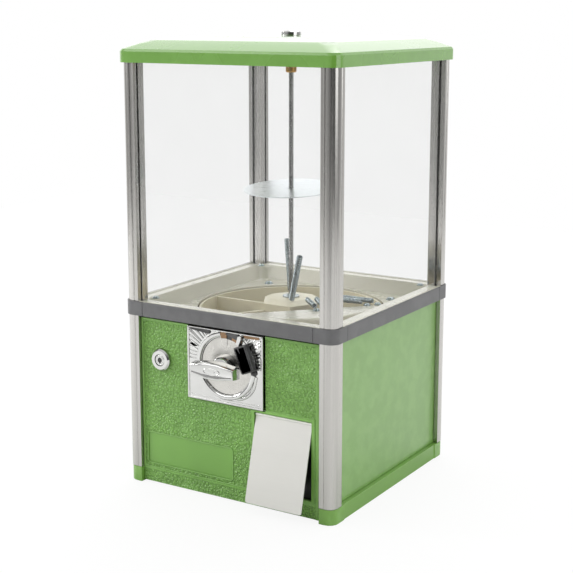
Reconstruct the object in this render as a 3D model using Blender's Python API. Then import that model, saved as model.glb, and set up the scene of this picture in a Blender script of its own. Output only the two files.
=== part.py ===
"""Candy bulk dispenser: a countertop bulk vending machine.

Origin: centre of the base's underside, on the centre rod's axis. +Z is up, +X is
to the right and the door faces -Y. Sizes are in millimetres and MM turns them
into metres when a mesh is made.
"""

import math

import bmesh
import bpy
from mathutils import Matrix, Vector

MM = 0.001
GAP = 0.3  # between pieces that touch or are fastened together
SLIT = 0.6  # round a piece that swings in an opening

# Cabinet
WIDTH = 250.0
DEPTH = 250.0
BASE_H = 16.0
BASE_FLOOR = 4.0
BASE_RIM = 19.0
BASE_STEP = 0.8
BODY_TOP = 181.0  # underside of the band
BAND_H = 15.0
BAND_OVER = 1.6
BAND_LIP = 2.0
BAND_IN = 12.7  # from the cabinet's outside to the band's inner edge
BAND_PAST = 6.1  # how far each band corner runs on past its post
LID_Z = 440.0

# Corner posts and panels
POST = 16.5
POST_R = 9.0
POST_UP = 10.2  # post top above the lid's lower edge
GROOVE = 1.3
SLOT_OUT = 5.0
SLOT_W = 2.6
SLOT_DEEP = 5.0
PANEL_T = 2.0

# Lid
LID_OVER = 3.1
LID_T = 2.2
SKIRT = 11.0
LID_SLOPE = 19.0
LID_RISE = 11.0
LID_FLAT = 62.0
LID_CROWN = 3.5
LOCK_R = 10.5
LOCK_BARREL_R = 8.6

# Rod and baffle
ROD_R = 2.5
ROD_BELOW = 23.3  # rod's lower end below the wheel
NUT_R = 5.7
NUT_DROP = 12.0  # nut below the lid's lower edge
DISC_R = 50.0
DISC_T = 1.0
DISC_Z = 307.0
DISC_TILT = 4.0

# Hopper tray, platform and wheel
TRAY_T = 1.7
TRAY_CLEAR = 0.6
TRAY_RUN = 7.0  # slope of the wall, sideways
WHEEL_FIT = 1.5
TRAY_SCREW = 79.0
WHEEL_R = 98.5
WHEEL_WALL = 2.5
WHEEL_DROP = 1.5  # rim below the tray's floor
WHEEL_H = 22.2
DIVIDER_T = 3.0
HUB_R = 33.0
HUB_UP = 10.5
GEAR_TEETH = 6
CROWN_TEETH = 36
CROWN_W = 7.0
CROWN_DEEP = 4.3
PLATFORM_T = 4.0
PLATFORM_GAP = 1.0
PLATFORM_BACK_OFF = 3.5  # plate's front edge inside the crown
OUTLET_R = 21.0
OUTLET_AT = 64.0
OUTLET_ANGLE = -43.0

# Brush housing, strike springs and agitators
BRUSH_CHORD = 56.0
BRUSH_T = 8.7
SPRING_R = 2.75
SPRING_UP = 3.5
SPRING_IN = 32.5
AGITATOR_R = 3.25
AGITATOR_L = 60.0
AGITATOR_LEAN = 30.0
AGITATOR_AT = 22.8

# Door
DOOR_T = 3.0
DOOR_INSET = 3.9  # door front behind the cabinet's front
DOOR_LOW = 1.5
DOOR_DROP = 2.5  # door's top below the band
DOOR_RIM = 2.5
DOOR_SKIN = 0.6
KNUCKLE_R = 3.6
PIN_R = 1.5
PIN_FIT = 0.06
LABEL = (-103.5, 6.2, 21.0, 57.0)
OPENING_X = (31.6, 98.0)
OPENING_LOW = 19.5
OPENING_DROP = 2.9  # opening's top below the coin mechanism
LOCK_X = -82.4
LOCK_DROP = 44.4
LOCK_HEAD_R = 11.5
LOCK_BODY_R = 9.0
LOCK_PLUG_R = 6.0
CAM_L = 32.0
CAM_W = 12.0
CAM_T = 2.3

# Flap
FLAP_LEAN = 13.9
FLAP_T = 1.0
FLAP_PIN_R = 1.0
FLAP_PIN_BACK = 0.4  # behind the door's back face
FLAP_PIN_DOWN = 2.6  # below the opening's top edge
FLAP_PAST = 8.4  # flap's end below the opening
LUG_T = 2.6

# Coin mechanism
MECH_X = (-47.5, 43.5)
MECH_H = 74.9
MECH_DROP = 3.2  # below the band
MECH_PROUD = 2.2
MECH_T = 3.4
MECH_FIT = 1.4
HANDLE_DROP = 35.2  # below the faceplate's top
DIAL_R = 29.6
RING_R = 34.9
SHAFT_R = 4.0
HANDLE_HALF = 26.5
HANDLE_H = 17.0
HANDLE_END_H = 11.0
HANDLE_DEEP = 12.0
HANDLE_OUT = 25.0  # handle front before the cabinet's front
GEAR_FIT = 1.3  # gear's tip below the wheel
GEAR_HUB = 8.5
GEAR_T = 5.0
TOOTH_W = 4.6
HOUSING_DEEP = 14.0
COVER_AT = (24.9, 11.2)  # from the handle's axis
COVER_W = 15.6
COVER_H = 27.8
COVER_DEEP = 7.0
COVER_TILT = 21.0

# Chute and coin box
CHUTE_T = 2.0
CHUTE_X = (25.5, 98.5)
CHUTE_BACK = -8.0
CHUTE_SLOPE = 33.5
CHUTE_CLEAR = 5.6
CHUTE_ROOF_UP = 1.0
COIN_BOX_X = (-102.0, 19.0)
COIN_BOX_L = 84.5
COIN_BOX_DROP = 36.9  # below the coin mechanism

GREEN = (0.20, 0.42, 0.09)
GREY = (0.21, 0.21, 0.21)
CREAM = (0.80, 0.78, 0.66)
IVORY = (0.72, 0.66, 0.47)
CHROME = (0.72, 0.72, 0.72)
ZINC = (0.55, 0.58, 0.60)
STEEL = (0.60, 0.60, 0.58)
ALUMINIUM = (0.58, 0.58, 0.58)
BLACK = (0.02, 0.02, 0.02)
BRASS = (0.60, 0.44, 0.16)
CLEAR = (0.95, 0.97, 0.97)

HALF_X = WIDTH / 2
HALF_Y = DEPTH / 2
BAND_TOP = BODY_TOP + BAND_H
BAND_CORNER = POST + BAND_PAST
FLANGE_TOP = BAND_TOP - 0.7
FLANGE_LOW = FLANGE_TOP - 2.0
NUT_Z = LID_Z - NUT_DROP
WHEEL_TOP = BODY_TOP - WHEEL_DROP
WHEEL_Z = WHEEL_TOP - WHEEL_H
HUB_TOP = WHEEL_TOP + HUB_UP
CROWN_IN = WHEEL_R - CROWN_W
TRAY_HOLE_R = WHEEL_R + WHEEL_FIT
TRAY_TOP_IN = BAND_IN + TRAY_CLEAR + TRAY_T  # from the cabinet's outside
TRAY_LOW_IN = TRAY_TOP_IN + TRAY_RUN
PLATFORM_FRONT = CROWN_IN - PLATFORM_BACK_OFF
ROD_LOW = WHEEL_Z - ROD_BELOW
SPRING_Z = HUB_TOP + SPRING_UP
MECH = (*MECH_X, BODY_TOP - MECH_DROP - MECH_H, BODY_TOP - MECH_DROP)
HANDLE_Z = MECH[3] - HANDLE_DROP
LOCK_Z = BODY_TOP - LOCK_DROP
GEAR_TIP = WHEEL_Z - HANDLE_Z - GEAR_FIT
OPENING = (*OPENING_X, OPENING_LOW, MECH[2] - OPENING_DROP)
DOOR_TOP = BODY_TOP - DOOR_DROP
DOOR_FRONT = -HALF_Y + DOOR_INSET
DOOR_BACK = DOOR_FRONT + DOOR_T
DOOR_LEFT = -HALF_X + POST + 0.4
HINGE_X = HALF_X - POST - 0.4 - KNUCKLE_R
HINGE_Y = DOOR_FRONT + KNUCKLE_R
PANEL_MID = SLOT_OUT + SLOT_W / 2
FLAP_Y = DOOR_BACK + FLAP_PIN_BACK
FLAP_Z = OPENING[3] - FLAP_PIN_DOWN
FLAP_BOTTOM = OPENING_LOW - FLAP_PAST
CHUTE_ROOF = OPENING[3] + CHUTE_ROOF_UP
GEAR_Y = -(CROWN_IN + WHEEL_R) / 2
CHUTE_FRONT = DOOR_BACK + CHUTE_CLEAR
MECH_FRONT = DOOR_FRONT - MECH_PROUD
MECH_BACK = MECH_FRONT + MECH_T

FINISH = {
    "painted": (0.42, 0.0),
    "plastic": (0.35, 0.0),
    "chrome": (0.12, 1.0),
    "metal": (0.35, 1.0),
    "clear": (0.05, 0.0),
}


def clear_scene():
    for obj in list(bpy.data.objects):
        bpy.data.objects.remove(obj, do_unlink=True)


def material(name, colour, finish):
    made = bpy.data.materials.new(name)
    made.use_nodes = True
    shader = made.node_tree.nodes["Principled BSDF"]
    roughness, metallic = FINISH[finish]
    shader.inputs["Base Color"].default_value = (*colour, 1.0)
    shader.inputs["Roughness"].default_value = roughness
    shader.inputs["Metallic"].default_value = metallic
    if finish == "clear":
        shader.inputs["Transmission Weight"].default_value = 1.0
    return made


def solid(bm, name="shape"):
    """A mesh object from a bmesh in millimetres."""
    bmesh.ops.remove_doubles(bm, verts=bm.verts, dist=0.001)
    bmesh.ops.recalc_face_normals(bm, faces=bm.faces)
    bmesh.ops.scale(bm, vec=Vector((MM, MM, MM)), verts=bm.verts)
    mesh = bpy.data.meshes.new(name)
    bm.to_mesh(mesh)
    bm.free()
    obj = bpy.data.objects.new(name, mesh)
    bpy.context.scene.collection.objects.link(obj)
    return obj


def combine(target, tools, operation):
    for tool in tools:
        modifier = target.modifiers.new(operation, "BOOLEAN")
        modifier.object = tool
        modifier.operation = operation
        modifier.solver = "EXACT"
        bpy.context.view_layer.update()
        graph = bpy.context.evaluated_depsgraph_get()
        mesh = bpy.data.meshes.new_from_object(target.evaluated_get(graph))
        target.modifiers.clear()
        target.data = mesh
        bpy.data.objects.remove(tool, do_unlink=True)
    return target


def join(target, *tools):
    return combine(target, tools, "UNION")


def cut(target, *tools):
    return combine(target, tools, "DIFFERENCE")


def node(obj, name, colour, finish, origin=(0, 0, 0)):
    """Names a finished piece, gives it its material and puts its origin on its joint's axis."""
    obj.name = name
    obj.data.name = name
    obj.data.materials.clear()
    obj.data.materials.append(material(name, colour, finish))
    place = Vector(origin) * MM
    obj.data.transform(Matrix.Translation(-place))
    obj.location = place
    obj.data.shade_smooth()
    obj.data.set_sharp_from_angle(angle=math.radians(32))
    return obj


def to_world(a, b, height, axis):
    """A point of an outline (a, b), raised along the axis that it is extruded on."""
    if axis == "X":
        return (height, a, b)
    if axis == "Y":
        return (a, height, b)
    return (a, b, height)


def skin(rings):
    """Closed skin through rings with the same number of points, capped at both ends."""
    bm = bmesh.new()
    rows = [[bm.verts.new(point) for point in ring] for ring in rings]
    count = len(rings[0])
    for low, high in zip(rows, rows[1:]):
        for i in range(count):
            j = (i + 1) % count
            bm.faces.new((low[i], low[j], high[j], high[i]))
    bm.faces.new(rows[0])
    bm.faces.new(rows[-1])
    return solid(bm)


def prism(outline, low, high, axis="Z"):
    return skin([[to_world(a, b, h, axis) for a, b in outline] for h in (low, high)])


def box(x0, x1, y0, y1, z0, z1):
    return prism([(x0, y0), (x1, y0), (x1, y1), (x0, y1)], z0, z1)


def arc(centre, radius, start, end, steps):
    turns = [math.radians(start + (end - start) * i / steps) for i in range(steps + 1)]
    return [(centre[0] + radius * math.cos(t), centre[1] + radius * math.sin(t)) for t in turns]


def circle(centre, radius, sides=32, start=0.0):
    return arc(centre, radius, start, start + 360, sides)[:-1]


def cylinder(centre, radius, low, high, axis="Z", sides=32):
    return prism(circle(centre, radius, sides), low, high, axis)


def turned(profile, centre=(0, 0), axis="Z", sides=32):
    """A round solid through (radius, height) pairs."""
    return skin([[to_world(a, b, h, axis) for a, b in circle(centre, r, sides)] for r, h in profile])


def rounded(x0, x1, y0, y1, radius, steps=4):
    corners = (
        ((x1 - radius, y1 - radius), 0),
        ((x0 + radius, y1 - radius), 90),
        ((x0 + radius, y0 + radius), 180),
        ((x1 - radius, y0 + radius), 270),
    )
    return [p for centre, start in corners for p in arc(centre, radius, start, start + 90, steps)]


def square_loft(sections, steps=4):
    """Rounded squares at heights: (height, inset from the cabinet's outside, corner radius)."""
    rings = []
    for height, inset, radius in sections:
        x = HALF_X - inset
        y = HALF_Y - inset
        rings.append([(a, b, height) for a, b in rounded(-x, x, -y, y, radius, steps)])
    return skin(rings)


def rod_between(start, end, radius, sides=12):
    """A round bar between two points."""
    start, end = Vector(start), Vector(end)
    along = (end - start).normalized()
    across = along.cross(Vector((0, 0, 1)))
    if across.length < 0.1:
        across = Vector((1, 0, 0))
    across.normalize()
    up = across.cross(along)
    rings = []
    for point in (start, end):
        ring = [point + across * (radius * a) + up * (radius * b) for a, b in circle((0, 0), 1, sides)]
        rings.append(ring)
    return skin(rings)


def at_corner(outline, sx, sy):
    """An outline given inward from a corner of the cabinet, moved to that corner."""
    placed = [(sx * (HALF_X - u), sy * (HALF_Y - v)) for u, v in outline]
    return placed if sx * sy > 0 else placed[::-1]


CORNERS = {
    "front_left": (-1, -1),
    "front_right": (1, -1),
    "rear_left": (-1, 1),
    "rear_right": (1, 1),
}


def base():
    made = prism(rounded(-HALF_X, HALF_X, -HALF_Y, HALF_Y, POST_R + 1), 0, BASE_H)
    inner_x = HALF_X - BASE_RIM
    inner_y = HALF_Y - BASE_RIM
    pocket = prism(rounded(-inner_x, inner_x, -inner_y, inner_y, 6), BASE_FLOOR, BASE_H + 2)
    side_y = HALF_Y - BAND_CORNER
    right = box(HALF_X - BASE_STEP, HALF_X + 2, -side_y, side_y, -2, BASE_H + 2)
    left = box(-HALF_X - 2, -HALF_X + BASE_STEP, -side_y, side_y, -2, BASE_H + 2)
    back_x = HALF_X - BAND_CORNER
    back = box(-back_x, back_x, HALF_Y - BASE_STEP, HALF_Y + 2, -2, BASE_H + 2)
    door_x = HALF_X - POST
    front = box(-door_x, door_x, -HALF_Y - 2, HINGE_Y + KNUCKLE_R + SLIT, -2, BASE_H + 2)
    node(cut(made, pocket, right, left, back, front), "base_tray", GREEN, "painted")


def post_outline():
    """One quarter of the cabinet's corner, with panel slots in its two inner faces."""
    low = SLOT_OUT
    high = SLOT_OUT + SLOT_W
    deep = POST - SLOT_DEEP
    half = GROOVE / 2
    mid = POST_R + 2.6
    face = [(mid - half, 0), (mid, half), (mid + half, 0), (POST, 0)]
    lips = [(POST, low), (deep, low), (deep, high), (POST, high), (POST, POST)]
    mirrored = [(v, u) for u, v in (face + lips[:-1])[::-1]]
    return arc((POST_R, POST_R), POST_R, 180, 270, 6) + face + lips + mirrored


def posts():
    top = LID_Z + POST_UP
    for name, (sx, sy) in CORNERS.items():
        made = prism(at_corner(post_outline(), sx, sy), BASE_H + GAP, top)
        node(made, "corner_post_" + name, ALUMINIUM, "metal")


def panel(name, side, low, high, colour, finish):
    """A sheet in the slots of two posts: side is left, right, front or rear."""
    play = (SLOT_W - PANEL_T) / 2
    reach = POST - SLOT_DEEP + GAP
    out = SLOT_OUT + play
    if side in ("left", "right"):
        sign = -1 if side == "left" else 1
        xs = sorted((sign * (HALF_X - out), sign * (HALF_X - out - PANEL_T)))
        made = box(xs[0], xs[1], -HALF_Y + reach, HALF_Y - reach, low, high)
    else:
        sign = -1 if side == "front" else 1
        ys = sorted((sign * (HALF_Y - out), sign * (HALF_Y - out - PANEL_T)))
        made = box(-HALF_X + reach, HALF_X - reach, ys[0], ys[1], low, high)
    node(made, name, colour, finish)


def panels():
    low = BASE_H + GAP
    high = BODY_TOP - GAP
    panel("side_panel_left", "left", low, high, GREEN, "painted")
    panel("side_panel_right", "right", low, high, GREEN, "painted")
    panel("rear_panel", "rear", low, high, GREEN, "painted")
    for side in ("left", "right", "front", "rear"):
        panel("clear_panel_" + side, side, FLANGE_TOP + GAP, LID_Z + POST_UP - 4, CLEAR, "clear")


def band_rail(name, side):
    """One rail of the band: an outer lip over a lower block that carries the hopper tray."""
    out = -BAND_OVER
    lip = out + BAND_LIP
    shape = [
        (out, BODY_TOP),
        (BAND_IN, BODY_TOP),
        (BAND_IN, FLANGE_LOW - GAP),
        (lip, FLANGE_LOW - GAP),
        (lip, BAND_TOP),
        (out + 0.7, BAND_TOP),
        (out, BAND_TOP - 0.9),
    ]
    along_x = side in ("front", "rear")
    sign = -1 if side in ("front", "left") else 1
    half, reach = (HALF_Y, HALF_X) if along_x else (HALF_X, HALF_Y)
    reach -= BAND_CORNER + GAP
    outline = [(sign * (half - u), z) for u, z in shape]
    made = prism(outline, -reach, reach, "X" if along_x else "Y")
    node(made, name, GREY, "painted")


def band():
    for side in ("front", "rear", "left", "right"):
        band_rail("band_rail_" + side, side)
    big = POST_R + BAND_OVER
    hug = POST_R + GAP
    inner = POST + GAP
    centre = (POST_R, POST_R)
    for name, (sx, sy) in CORNERS.items():
        outer_low = arc(centre, big, 180, 270, 6) + [(BAND_CORNER, -BAND_OVER), (BAND_CORNER, BAND_IN)]
        inner_low = [(inner, BAND_IN), (inner, -GAP)] + arc(centre, hug, 270, 180, 6)
        legs = [(-GAP, inner), (BAND_IN, inner), (BAND_IN, BAND_CORNER), (-BAND_OVER, BAND_CORNER)]
        block = prism(at_corner(outer_low + inner_low + legs, sx, sy), BODY_TOP, BAND_TOP)
        step = BAND_LIP - BAND_OVER
        shelf = arc(centre, POST_R - step, 180, 270, 6) + [(40, step), (40, 40), (step, 40)]
        made = cut(block, prism(at_corner(shelf, sx, sy), FLANGE_LOW - GAP, BAND_TOP + 2))
        if name == "front_right":
            made = cut(made, cylinder((HINGE_X, HINGE_Y), PIN_R + PIN_FIT, BODY_TOP - 2, BODY_TOP + 8, sides=16))
        node(made, "band_corner_" + name, GREY, "painted")


def lid():
    top = LID_Z + SKIRT
    rise = top + LID_RISE
    crown = rise + LID_CROWN
    edge = -LID_OVER
    flat = HALF_X - LID_FLAT
    outer = square_loft(
        [
            (LID_Z, edge, 11),
            (top, edge, 11),
            (top + 2.4, edge + 1.2, 11),
            (rise - 3.2, LID_SLOPE - 9, 12),
            (rise, LID_SLOPE, 13),
            (crown, flat, 16),
        ]
    )
    inner = square_loft(
        [
            (LID_Z - 2, edge + LID_T, 11 - LID_T),
            (top - 0.4, edge + LID_T, 11 - LID_T),
            (rise - 3.2 - LID_T, LID_SLOPE - 8, 11),
            (rise - LID_T, LID_SLOPE + 1, 12),
            (crown - LID_T, flat, 14),
        ]
    )
    hole = cylinder((0, 0), LOCK_BARREL_R + GAP, crown - 8, crown + 2)
    node(cut(outer, inner, hole), "lid", GREEN, "painted")
    head = crown + GAP
    body = turned(
        [
            (LOCK_BARREL_R, crown - 20),
            (LOCK_BARREL_R, head),
            (LOCK_R, head),
            (LOCK_R, head + 3.6),
            (LOCK_R - 1.2, head + 4.8),
        ]
    )
    bore = cylinder((0, 0), NUT_R + GAP, crown - 22, head + 7, sides=24)
    node(cut(body, bore), "lid_lock_body", CHROME, "chrome")
    low = crown - 12
    plug = turned([(NUT_R - 0.6, low), (NUT_R, low + 1), (NUT_R, head + 4.2), (NUT_R - 0.8, head + 5.0)], sides=24)
    key = cylinder((0, 0), 3.0, head + 2.5, head + 7, sides=16)
    node(cut(plug, key), "lid_lock_plug", CHROME, "chrome")
    nut = turned([(NUT_R - 0.8, NUT_Z), (NUT_R, NUT_Z + 1), (NUT_R, low - GAP)], sides=24)
    thread = cylinder((0, 0), ROD_R + GAP, NUT_Z - 2, low - 3, sides=16)
    node(cut(nut, thread), "rod_nut", BRASS, "metal")


def rod():
    top = NUT_Z + 12
    node(cylinder((0, 0), ROD_R, ROD_LOW, top, sides=16), "centre_rod", ZINC, "metal")
    under = WHEEL_Z - PLATFORM_GAP - PLATFORM_T - 6.3
    nut = prism(circle((0, 0), 6.3, 6), under - 6, under)
    bore = cylinder((0, 0), ROD_R + GAP, under - 8, under + 2, sides=16)
    node(cut(nut, bore), "rod_lower_nut", ZINC, "metal")
    washer = cylinder((0, 0), 9.0, HUB_TOP + GAP, HUB_TOP + GAP + 1.2, sides=24)
    bore = cylinder((0, 0), ROD_R + GAP, HUB_TOP - 2, HUB_TOP + 4, sides=16)
    node(cut(washer, bore), "rod_washer", ZINC, "metal")
    disc = cylinder((0, 0), DISC_R, -DISC_T / 2, DISC_T / 2, sides=48)
    disc.data.transform(Matrix.Rotation(math.radians(DISC_TILT), 4, "X"))
    disc.data.transform(Matrix.Translation((0, 0, DISC_Z * MM)))
    hole = cylinder((0, 0), ROD_R + GAP, DISC_Z - 6, DISC_Z + 6, sides=16)
    node(cut(disc, hole), "baffle_disc", STEEL, "metal")
    collar = cylinder((0, 0), 4.6, DISC_Z - 7, DISC_Z - 1.4, sides=20)
    bore = cylinder((0, 0), ROD_R + GAP, DISC_Z - 9, DISC_Z + 6, sides=16)
    node(cut(collar, bore), "baffle_collar", ZINC, "metal")


def hopper_tray():
    x = HALF_X - (BAND_LIP - BAND_OVER) - GAP
    y = HALF_Y - (BAND_LIP - BAND_OVER) - GAP
    flange = box(-x, x, -y, y, FLANGE_LOW, FLANGE_TOP)
    top = TRAY_TOP_IN
    low = TRAY_LOW_IN
    floor = BODY_TOP - 2
    outer = square_loft([(floor, low - TRAY_T, 12), (FLANGE_LOW + 1, top - TRAY_T, 9)])
    collar = cylinder((0, 0), TRAY_HOLE_R + TRAY_T, WHEEL_Z + 4, floor + 1, sides=72)
    void = square_loft([(BODY_TOP, low, 11), (FLANGE_TOP - 1.0, top, 8), (FLANGE_TOP + 1, top - 1.5, 9)])
    hole = cylinder((0, 0), TRAY_HOLE_R, WHEEL_Z, BODY_TOP + 1, sides=72)
    made = cut(join(flange, outer, collar), void, hole)
    reach = POST + GAP
    notch = [(-5, -5), (reach, -5), (reach, reach), (-5, reach)]
    for sx, sy in CORNERS.values():
        cut(made, prism(at_corner(notch, sx, sy), FLANGE_LOW - 3, FLANGE_TOP + 3))
    for sx, sy in CORNERS.values():
        at = (sx * TRAY_SCREW, sy * TRAY_SCREW)
        cut(made, cylinder(at, 2.2, floor - 1, BODY_TOP + 1, sides=12))
    node(made, "hopper_tray", CREAM, "plastic")


def outlet(radius, low, high):
    angle = math.radians(OUTLET_ANGLE)
    at = (OUTLET_AT * math.cos(angle), OUTLET_AT * math.sin(angle))
    return cylinder(at, radius, low, high, sides=28)


def platform():
    top = WHEEL_Z - PLATFORM_GAP
    low = top - PLATFORM_T - 6
    mid = low + PLATFORM_T
    out = SLOT_OUT + SLOT_W + GAP
    x = HALF_X - out
    y = HALF_Y - out
    plate = box(-x, x, -PLATFORM_FRONT, y, low, mid)
    disc = cylinder((0, 0), CROWN_IN - 1.0, mid - 1, top, sides=60)
    made = join(plate, disc)
    reach = POST + GAP
    notch = [(-5, -5), (reach, -5), (reach, reach), (-5, reach)]
    for sx in (-1, 1):
        cut(made, prism(at_corner(notch, sx, 1), low - 2, mid + 2))
    cut(made, outlet(OUTLET_R, low - 2, top + 2))
    cut(made, cylinder((0, 0), ROD_R + GAP, low - 2, top + 2, sides=16))
    node(made, "wheel_platform", GREY, "plastic")


def wheel():
    """Six-pocket wheel: rim with a toothed crown below, dividers and a six-sided hub."""
    foot = WHEEL_Z + 2.7
    bm = bmesh.new()
    count = CROWN_TEETH * 2
    pitch = 360 / CROWN_TEETH
    share = TOOTH_W / (math.radians(pitch) * (CROWN_IN + WHEEL_R) / 2)
    rows = []
    for i in range(count):
        tooth = -90 + pitch / 2 + pitch * (i // 2)
        angle = math.radians(tooth + pitch * share / 2 * (1 if i % 2 else -1))
        ends = [(r * math.cos(angle), r * math.sin(angle), z) for r in (CROWN_IN, WHEEL_R) for z in (WHEEL_Z, foot)]
        rows.append([bm.verts.new(end) for end in ends])
    teeth = []
    for i in range(count):
        a, b = rows[i], rows[(i + 1) % count]
        lower = bm.faces.new((a[0], a[2], b[2], b[0]))
        bm.faces.new((a[1], b[1], b[3], a[3]))
        bm.faces.new((a[0], b[0], b[1], a[1]))
        bm.faces.new((a[2], a[3], b[3], b[2]))
        if i % 2 == 0:
            teeth.append(lower)
    raised = bmesh.ops.extrude_discrete_faces(bm, faces=teeth)
    verts = {v for face in raised["faces"] for v in face.verts}
    bmesh.ops.translate(bm, vec=(0, 0, -CROWN_DEEP), verts=list(verts))
    made = solid(bm)
    wall = cut(
        cylinder((0, 0), WHEEL_R - 0.15, foot - 1, WHEEL_TOP, sides=72),
        cylinder((0, 0), WHEEL_R - WHEEL_WALL, foot - 2, WHEEL_TOP + 1, sides=72),
    )
    hub = turned([(HUB_R, WHEEL_Z), (HUB_R, HUB_TOP - 4), (HUB_R - 8, HUB_TOP)], sides=6)
    made = join(made, wall)
    reach = WHEEL_R - WHEEL_WALL / 2
    for turn in (0, 60, 120):
        bar = box(-reach, reach, -DIVIDER_T / 2, DIVIDER_T / 2, WHEEL_Z, WHEEL_TOP - 0.6)
        bar.data.transform(Matrix.Rotation(math.radians(turn), 4, "Z"))
        made = join(made, bar)
    made = join(made, hub)
    hollow = turned([(HUB_R - 5, WHEEL_Z - 1), (HUB_R - 5, HUB_TOP - 9)], sides=6)
    bore = cylinder((0, 0), ROD_R + 0.5, WHEEL_Z - 2, HUB_TOP + 2, sides=16)
    node(cut(made, hollow, bore), "dispensing_wheel", IVORY, "plastic")
    lean = math.radians(AGITATOR_LEAN)
    for name, foot, heading in (("a", -57.0, -42.0), ("b", 123.0, 129.0)):
        out, away = (Vector((math.cos(math.radians(t)), math.sin(math.radians(t)), 0)) for t in (foot, heading))
        start = out * AGITATOR_AT + Vector((0, 0, HUB_TOP + GAP + 1.7))
        end = start + (away * math.sin(lean) + Vector((0, 0, math.cos(lean)))) * AGITATOR_L
        node(rod_between(start, end, AGITATOR_R), "agitator_spring_" + name, ZINC, "metal")


def brush():
    """Housing of the strike-off brush, over the outlet, with the strike springs on it."""
    outer = min(HALF_X, HALF_Y) - TRAY_LOW_IN - 1.0
    low = BODY_TOP + GAP
    half = math.degrees(math.acos(BRUSH_CHORD / outer))
    side = OUTLET_ANGLE
    outline = arc((0, 0), outer, side - half * 0.94, side + half * 0.94, 16)
    cap = prism(outline, low, low + BRUSH_T)
    turn = math.radians(side)
    out = Vector((math.cos(turn), math.sin(turn), 0))
    across = Vector((-out.y, out.x, 0))
    slot_mid = out * (BRUSH_CHORD + 15)
    slot = [slot_mid + out * a + across * b for a, b in ((-4, -26), (4, -26), (4, 26), (-4, 26))]
    made = cut(cap, prism([(p.x, p.y) for p in slot], low - 1, low + BRUSH_T - 2))
    node(made, "brush_housing", CREAM, "plastic")
    return out, across


def strike_springs(out, across):
    ends = {
        "a": ((52.0, -38.0), (30.2, -16.5)),
        "b": ((57.5, -31.5), (37.5, -9.5)),
        "c": ((84.0, 5.0), (42.0, -1.5)),
        "d": ((92.0, 14.4), (47.5, 11.5)),
    }
    for name, (outer, inner) in ends.items():
        start = Vector((*outer, SPRING_Z))
        end = Vector((*inner, SPRING_Z))
        if end.length_squared < (SPRING_IN ** 2 + SPRING_Z ** 2):
            end = Vector((*(Vector(inner).normalized() * (SPRING_IN + 1)), SPRING_Z))
        node(rod_between(start, end, SPRING_R), "strike_spring_" + name, ZINC, "metal")


def door():
    x0, x1, z0, z1 = OPENING
    left, top = DOOR_LEFT, DOOR_TOP
    skin_y = DOOR_FRONT + DOOR_SKIN
    plate = box(left, HINGE_X, skin_y, DOOR_BACK, DOOR_LOW, top)
    frame = box(left, HINGE_X, DOOR_FRONT, skin_y + 0.3, BASE_H - 1, top)
    field = box(left + DOOR_RIM, HINGE_X + KNUCKLE_R - DOOR_RIM, DOOR_FRONT - 2, skin_y, BASE_H + 1, top - DOOR_RIM)
    raised = cut(frame, field)
    rim = box(x0 - 3, x1 + 3, DOOR_FRONT, skin_y + 0.3, z0 - 3, z1 + 3)
    knuckle = cylinder((HINGE_X, HINGE_Y), KNUCKLE_R, DOOR_LOW, top, sides=24)
    mouth = box(x0, x1, DOOR_FRONT - 3, DOOR_BACK + 3, z0, z1)
    made = join(plate, raised, rim, knuckle)
    mx0, mx1, mz0, _ = MECH
    notch = box(mx0 - MECH_FIT, mx1 + MECH_FIT, DOOR_FRONT - 3, DOOR_BACK + 3, mz0 - MECH_FIT, top + 3)
    a, b, c, d = LABEL
    label = prism(rounded(a, b, c, d, 3), DOOR_FRONT - 3, skin_y + 0.9, "Y")
    lock = cylinder((LOCK_X, LOCK_Z), LOCK_BODY_R + GAP, DOOR_FRONT - 3, DOOR_BACK + 3, "Y")
    made = cut(made, mouth, notch, label, lock)
    lug_y = FLAP_Y + FLAP_PIN_R + 1.6
    for lug_x in (x0 - SLIT - LUG_T, x1 + SLIT):
        lug = box(lug_x, lug_x + LUG_T, DOOR_BACK - 0.5, lug_y, FLAP_Z - 3, FLAP_Z + 4)
        made = join(made, lug)
    pin = cylinder((FLAP_Y, FLAP_Z), FLAP_PIN_R + PIN_FIT, x0 - 8, x1 + 8, "X", 12)
    low_pin = cylinder((HINGE_X, HINGE_Y), PIN_R + PIN_FIT, DOOR_LOW - 1, DOOR_LOW + 10, sides=16)
    high_pin = cylinder((HINGE_X, HINGE_Y), PIN_R + PIN_FIT, top - 10, top + 1, sides=16)
    made = cut(made, pin, low_pin, high_pin)
    node(made, "front_door", GREEN, "painted", (HINGE_X, HINGE_Y, 0))
    node(
        cylinder((HINGE_X, HINGE_Y), PIN_R, top - 9, BODY_TOP + 7, sides=16),
        "door_hinge_pin_upper",
        ZINC,
        "metal",
    )
    node(
        cylinder((HINGE_X, HINGE_Y), PIN_R, DOOR_LOW - 0.9, DOOR_LOW + 9, sides=16),
        "door_hinge_pin_lower",
        ZINC,
        "metal",
    )
    node(
        cylinder((FLAP_Y, FLAP_Z), FLAP_PIN_R, x0 - SLIT - LUG_T - 0.4, x1 + SLIT + LUG_T + 0.4, "X", 12),
        "flap_hinge_pin",
        ZINC,
        "metal",
    )


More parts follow.
